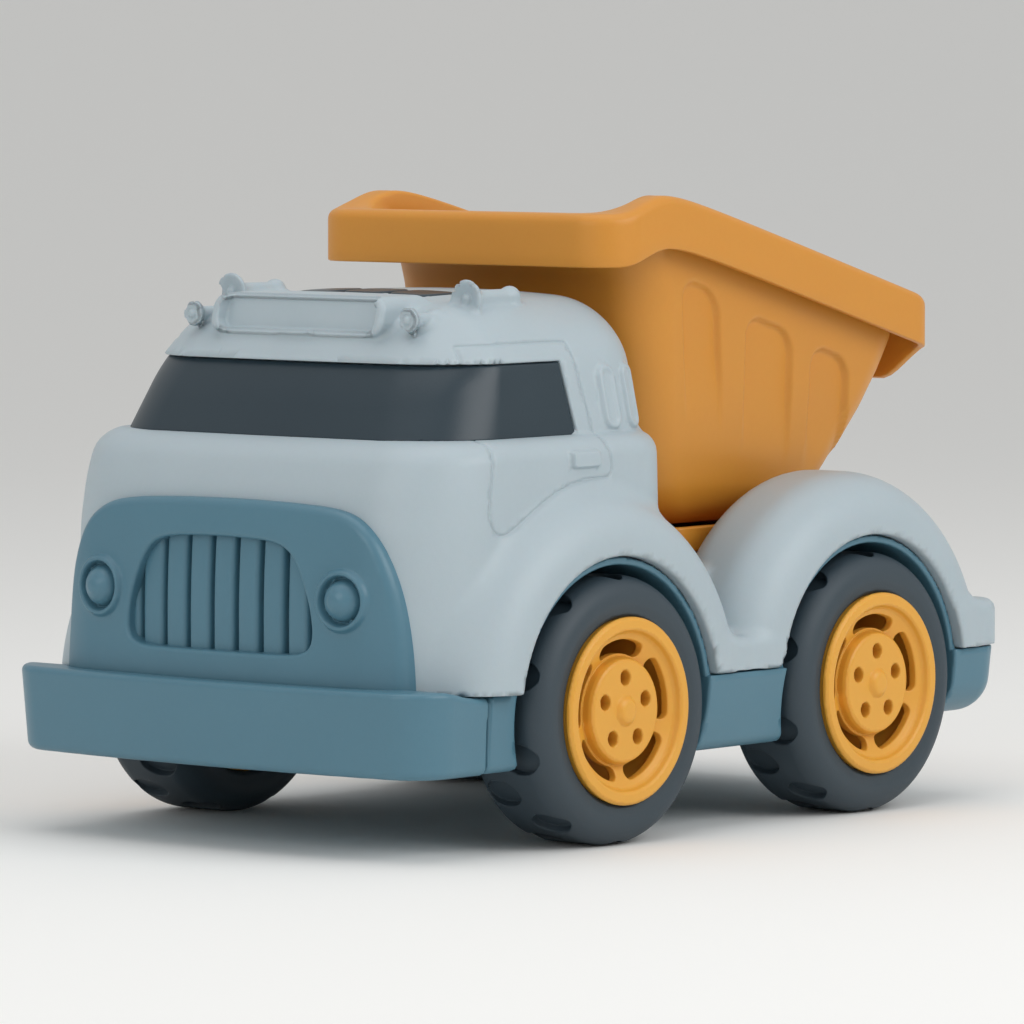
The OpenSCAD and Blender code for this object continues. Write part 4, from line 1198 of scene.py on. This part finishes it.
def bed_rings():
    """Up the outside of the wall, round the turned-down rim, and down the inside to the floor."""
    outside = shares((0.0, 0.3, 14), (0.31, 0.9, 62), (0.91, 0.985, 8))
    inside = shares((0.0, 0.12, 8), (0.14, 0.72, 14), (0.75, 0.985, 12))
    rings = [wall_ring(t, 0.0, 0.0) for t in outside]
    rim = [(BED_SKIN + 1.6, BED_SKIN), (BED_SKIN + 0.5, 2.6), (BED_SKIN, 3.6)]
    rim += [(BED_SKIN, drop) for drop in (6.0, 9.0, 12.0, RIM_DROP - 0.5)]
    rim += [(2.1, RIM_DROP - 0.15), (1.75, RIM_DROP), (0.45, RIM_DROP), (0.12, RIM_DROP - 0.15)]
    rim += [(0.0, drop) for drop in (RIM_DROP - 0.5, 11.0, 8.0, 5.0, 3.4)]
    for a in np.linspace(0.12, 1.0, 7):
        turn = a * math.pi / 2
        rim.append((RIM_ROUND * (1 - math.cos(turn)), RIM_ROUND * (1 - math.sin(turn))))
    rim += [(RIM_ROUND + t * 3.0, 0.0) for t in (0.25, 0.5, 0.75)]
    rings += [lip_ring(inward, drop) for inward, drop in rim]
    top = wall_ring(1.0, 0.0, 0.0)
    for rise, inward in ((BED_SKIN, 0.9), (1.9, 2.0), (1.1, 2.7)):
        ring = wall_ring(1.0, inward, 0.0)
        ring[:, 2] = top[:, 2] + rise
        rings.append(ring)
    rings += [wall_ring(t * 0.985, BED_SKIN, BED_SKIN) for t in inside[::-1]]
    return rings


def ring_mesh(name, rings):
    """Closed mesh over a row of rings, with a flat cap at each end."""
    points = np.concatenate(rings)
    n, m = len(rings[0]), len(rings)
    row = np.arange(n)
    after = (row + 1) % n
    strip = np.stack([row, n + row, n + after, after], 1)
    quads = np.concatenate([i * n + strip for i in range(m - 1)])
    first, last = points[:n].mean(0), points[-n:].mean(0)
    points = np.vstack([points, first, last])
    a, b = m * n, m * n + 1
    caps = [(a, int(j), int(k)) for j, k in zip(row, after)]
    caps += [(b, int((m - 1) * n + k), int((m - 1) * n + j)) for j, k in zip(row, after)]
    mesh = bpy.data.meshes.new(name)
    mesh.from_pydata(in_frame(points).tolist(), [], quads.tolist() + caps)
    work = bmesh.new()
    work.from_mesh(mesh)
    bmesh.ops.recalc_face_normals(work, faces=work.faces)
    work.to_mesh(mesh)
    work.free()
    mesh.shade_smooth()
    return mesh


bed = ring_mesh("load_bed", bed_rings())
add_piece("load_bed_moulding", bed, mustard_polypropylene, "load_bed", "mustard_body", "tipper_bed")


FOOT_X = -39.0


def foot_field(x, y, z):
    """Frame under the bed with its screw plate, and the two lugs that hold the pin."""
    ya = np.abs(y)
    along = x - FOOT_X
    outer = round_cut(round_plate(along, ya, 27.0, 43.5, 4.0), span(z, 72.4, 79.45), 0.6)
    inner = round_plate(along, ya, 24.8, 41.3, 3.0)
    frame_wall = np.maximum(outer, -inner)
    plate = np.maximum(round_plate(along, ya, 26.0, 42.5, 3.0), span(z, 74.6, 76.8))
    for px in (-57.0, -21.0):
        plate = np.maximum(plate, 1.7 - np.hypot(x - px, ya - 31.5))
    lug = round_cut(from_hinge(x, z) - 4.0, span(ya, *LUG), 0.5)
    arm = np.maximum(np.maximum(span(x, HINGE_X, -63.0), span(z, 74.6, 79.4)), span(ya, *LUG))
    body = np.minimum(np.minimum(frame_wall, plate), np.minimum(lug, arm))
    return np.maximum(body, -(from_hinge(x, z) - 1.6))


foot = moulded(
    "bed_foot_moulding", foot_field, (-81.0, -45.5, 70.5), (-10.0, 45.5, 81.5), 0.98, even=1
)
add_piece("bed_foot_moulding", foot, mustard_polypropylene, "load_bed", "mustard_body", "bed_foot")


# ---------------------------------------------------------------- wheels

FIFTH, TENTH = 2 * math.pi / 5, 2 * math.pi / 10
# Half section of a wheel centre, outwards from the axle and along it
RIM_PROFILE = [
    (-6.0, 7.4), (-6.0, 14.7), (2.2, 14.7), (2.9, 14.45), (3.5, 13.9), (4.1, 13.2), (13.1, 13.2),
    (13.75, 12.8), (14.15, 11.8), (14.4, 10.0), (20.4, 12.7), (20.95, 13.3), (21.4, 14.5), (22.0, 15.0),
    (24.3, 15.0), (25.05, 14.3), (25.05, 13.35), (24.5, 12.8), (24.5, -13.0), (22.6, -13.0),
    (22.4, 10.6), (20.4, 10.3), (14.4, 7.4),
]


def slot_edge(x, y, z):
    """Outlines of the five curved slots round the hub disc."""
    slot_radius, half_width, half_reach = 17.05, 1.95, math.radians(23)
    turn = folded(np.arctan2(y, x) - math.pi / 2, FIFTH)
    held = np.clip(turn, -half_reach, half_reach)
    out = np.hypot(x, y)
    return np.hypot(
        out * np.cos(turn) - slot_radius * np.cos(held),
        out * np.sin(turn) - slot_radius * np.sin(held),
    ) - half_width


def near_slots(x, y, z):
    """Along the edges of the slots, front and back."""
    return (np.abs(slot_edge(x, y, z)) < 1.0) & (z > 6.5)


def wheel_centre_field(x, y, z):
    """One wheel centre about its own axle: Z is the axle, positive outwards."""
    out = np.hypot(x, y)
    dish = rim_section(out, z)
    hub = np.maximum(out - 5.4, span(z, -13.0, 10.0))
    angle = np.arctan2(y, x)
    turn = folded(angle - math.pi / 2, FIFTH)
    between = folded(angle - math.pi / 2 - FIFTH / 2, FIFTH)
    length = np.maximum(span(z, -10.0, 7.8), out - 23.5)
    rib = np.maximum(np.abs(out * np.sin(between)) - 0.9, length)
    rib = np.maximum(rib, -out * np.cos(between))
    body = np.minimum(np.minimum(dish, hub), rib)
    nut_hole = np.hypot(out * np.cos(turn) - 8.8, out * np.sin(turn)) - 2.05
    body = round_cut(body, -np.maximum(nut_hole, 6.0 - z), 0.3)
    body = round_cut(body, -np.maximum(slot_edge(x, y, z), 6.0 - z), 0.35)
    bore = np.maximum(out - 1.98, z - 9.5)
    return np.maximum(body, -bore)


rim_section = baked_outline(RIM_PROFILE, 4.0, 0.12, rounds=0)


def tyre_profile(out, z):
    """Tyre section: flat tread, round shoulders, a small step where it meets the centre."""
    shape = round_cut(span(z, -13.5, 13.5), out - WHEEL_RADIUS, 6.3)
    bulge = 0.5 * soft_step((out - 26.0) / 3.0) * soft_step((33.5 - out) / 3.0)
    shape = np.maximum(shape, np.abs(z) - 13.0 - bulge)
    return round_cut(shape, 24.6 - out + 0.9 * soft_step((np.abs(z) - 11.6) / 1.4), 0.5)


def scoop_edge(x, y, z):
    """Oval outlines of the hollows in the tread, two staggered rows of ten."""
    nearest = FAR
    for side in (-1.0, 1.0):
        turn = folded(np.arctan2(y, x) - (TENTH / 2 if side > 0 else 0.0), TENTH)
        oval = (np.hypot(WHEEL_RADIUS * turn / 4.4, (z - side * 4.9) / 5.8) - 1.0) * 4.6
        nearest = np.minimum(nearest, oval)
    return nearest


def tyre_field(x, y, z):
    """Tyre with its oval hollows, flat at the bottom and crisp at the edge."""
    out = np.hypot(x, y)
    return round_cut(tyre_profile(out, z), -np.maximum(scoop_edge(x, y, z), 33.9 - out), 0.3)


def near_scoops(x, y, z):
    """Along the edges of the hollows."""
    return (np.abs(scoop_edge(x, y, z)) < 1.0) & (np.hypot(x, y) > 33.0)


def on_truck(across_axle, side):
    """Turns a wheel's own directions to the truck's, outwards on its side (left is 1)."""
    return np.column_stack([across_axle[:, 0], side * across_axle[:, 2], across_axle[:, 1]])


def bare_skin(field, low, high, step, finer, rounded_edges):
    """Corners, faces and normals over a field that is used more than once."""
    mesh = moulded("wheel_template", field, low, high, step, finer, 2, rounded_edges)
    points = corners_of(mesh) / MM + np.array([X_SHIFT, 0.0, 0.0])
    work = bmesh.new()
    work.from_mesh(mesh)
    bmesh.ops.triangulate(work, faces=[f for f in work.faces if len(f.verts) > 4])
    faces = [[v.index for v in f.verts] for f in work.faces]
    work.free()
    bpy.data.meshes.remove(mesh)
    return points, faces, normals_of(field, points, 0.1)


def wheel_set():
    """Meshes one centre and one tyre, then stands a copy of both at each corner."""
    slot_rim = (
        lambda x, y, z: rim_section(np.hypot(x, y), z), lambda x, y, z: -slot_edge(x, y, z), 0.35
    )
    centre = bare_skin(
        wheel_centre_field, (-26.2, -26.2, -14.2), (26.2, 26.2, 16.2), 0.6, (near_slots,),
        (slot_rim,),
    )
    scoop_rim = (
        lambda x, y, z: tyre_profile(np.hypot(x, y), z), lambda x, y, z: -scoop_edge(x, y, z), 0.3
    )
    tyre = bare_skin(
        tyre_field, (-37.2, -37.2, -14.8), (37.2, 37.2, 14.8), 0.72, (near_scoops,), (scoop_rim,)
    )
    for end, axle_x in zip(("front", "rear"), AXLE_X):
        for hand, side in (("left", 1.0), ("right", -1.0)):
            hub = np.array([axle_x, side * TRACK / 2, WHEEL_RADIUS])
            for kind, made, finish, slot in (
                ("rim", centre, yellow_wheel_plastic, "rim_plastic"),
                ("tyre", tyre, slate_tyre_rubber, "tyre"),
            ):
                points, faces, normals = made
                node = f"{kind}_{end}_{hand}"
                placed = on_truck(points, side) + hub
                mesh = bpy.data.meshes.new(node)
                mesh.from_pydata(placed.tolist(), [], faces)
                finish_mesh(mesh, in_frame(placed), on_truck(normals, side), flip=side > 0)
                add_piece(node + "_moulding", mesh, finish, end + "_wheels", slot, node)


wheel_set()

# The axles, the pin and the screws keep their CAD shapes
for node in (
    "front_axle", "rear_axle", "hinge_pin", "body_screws", "deck_screws", "bed_screws",
    "bumper_screws",
):
    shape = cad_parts[node].data
    shape.materials.clear()
    shape.materials.append(zinc_steel)


# ---------------------------------------------------------------- studio

def studio_paper():
    """Floor disc that sweeps up into a wall all round, so that no horizon shows."""
    flat, rise, run = 1.6, 3.0, 4.4
    sectors = 96
    sweep = [(0.8, 0.0), (flat, 0.0)]
    for a in np.linspace(0.06, 1.4, 24):
        sweep.append((flat + run * math.sin(a), rise * (1.0 - math.cos(a))))
    around = np.arange(sectors) * 2 * math.pi / sectors
    points = [(0.0, 0.0, 0.0)]
    points += [(r * math.cos(a), r * math.sin(a), h) for r, h in sweep for a in around]
    faces = [(0, 1 + i, 1 + (i + 1) % sectors) for i in range(sectors)]
    for ring in range(len(sweep) - 1):
        inner, outer = 1 + ring * sectors, 1 + (ring + 1) * sectors
        for i in range(sectors):
            j = (i + 1) % sectors
            faces.append((inner + i, outer + i, outer + j, inner + j))
    mesh = bpy.data.meshes.new("studio_floor")
    mesh.from_pydata(points, [], faces)
    mesh.shade_smooth()
    paper = bpy.data.materials.new("white studio paper, matt")
    paper.use_nodes = True
    shader = paper.node_tree.nodes["Principled BSDF"]
    shader.inputs["Base Color"].default_value = linear("#F4F4F2")
    shader.inputs["Roughness"].default_value = 0.9
    mesh.materials.append(paper)
    floor = bpy.data.objects.new("studio_floor", mesh)
    bpy.context.scene.collection.objects.link(floor)


studio_paper()
bpy.context.scene.view_settings.view_transform = "Standard"
world = bpy.data.worlds.new("studio_surround")
bpy.context.scene.world = world
world.use_nodes = True
surround = world.node_tree.nodes["Background"].inputs
surround["Color"].default_value = linear("#FFFFFF")
surround["Strength"].default_value = 0.58


TRUCK_MIDDLE = (0, 0, 0.07)


def softbox(name, place, width, height, power):
    """Soft rectangular light that faces the truck."""
    light = bpy.data.lights.new(name, "AREA")
    light.shape = "RECTANGLE"
    light.size, light.size_y, light.energy = width, height, power
    lamp = bpy.data.objects.new(name, light)
    lamp.location = place
    aim = Vector(TRUCK_MIDDLE) - Vector(place)
    lamp.rotation_euler = aim.to_track_quat("-Z", "Y").to_euler()
    bpy.context.scene.collection.objects.link(lamp)


softbox("key_softbox", (-0.15, 1.05, 0.75), 0.9, 0.7, 5.2)
softbox("front_softbox", (1.2, 0.1, 0.65), 0.8, 0.6, 2.2)
softbox("top_softbox", (0.1, 0.0, 1.2), 1.1, 1.1, 3.4)

VIEW_AZIMUTH, VIEW_ELEVATION, VIEW_DISTANCE = math.radians(130.05), math.radians(3.76), 2.06
back = Vector(
    (
        math.sin(VIEW_AZIMUTH) * math.cos(VIEW_ELEVATION),
        -math.cos(VIEW_AZIMUTH) * math.cos(VIEW_ELEVATION),
        math.sin(VIEW_ELEVATION),
    )
)
camera_data = bpy.data.cameras.new("studio_camera")
camera_data.lens = 262.0
camera_data.clip_start, camera_data.clip_end = 0.1, 20.0
camera = bpy.data.objects.new("studio_camera", camera_data)
camera.location = Vector((0.0, 0.0, 0.083)) + back * VIEW_DISTANCE
camera.rotation_euler = (-back).to_track_quat("-Z", "Y").to_euler()
bpy.context.scene.collection.objects.link(camera)
bpy.context.scene.camera = camera
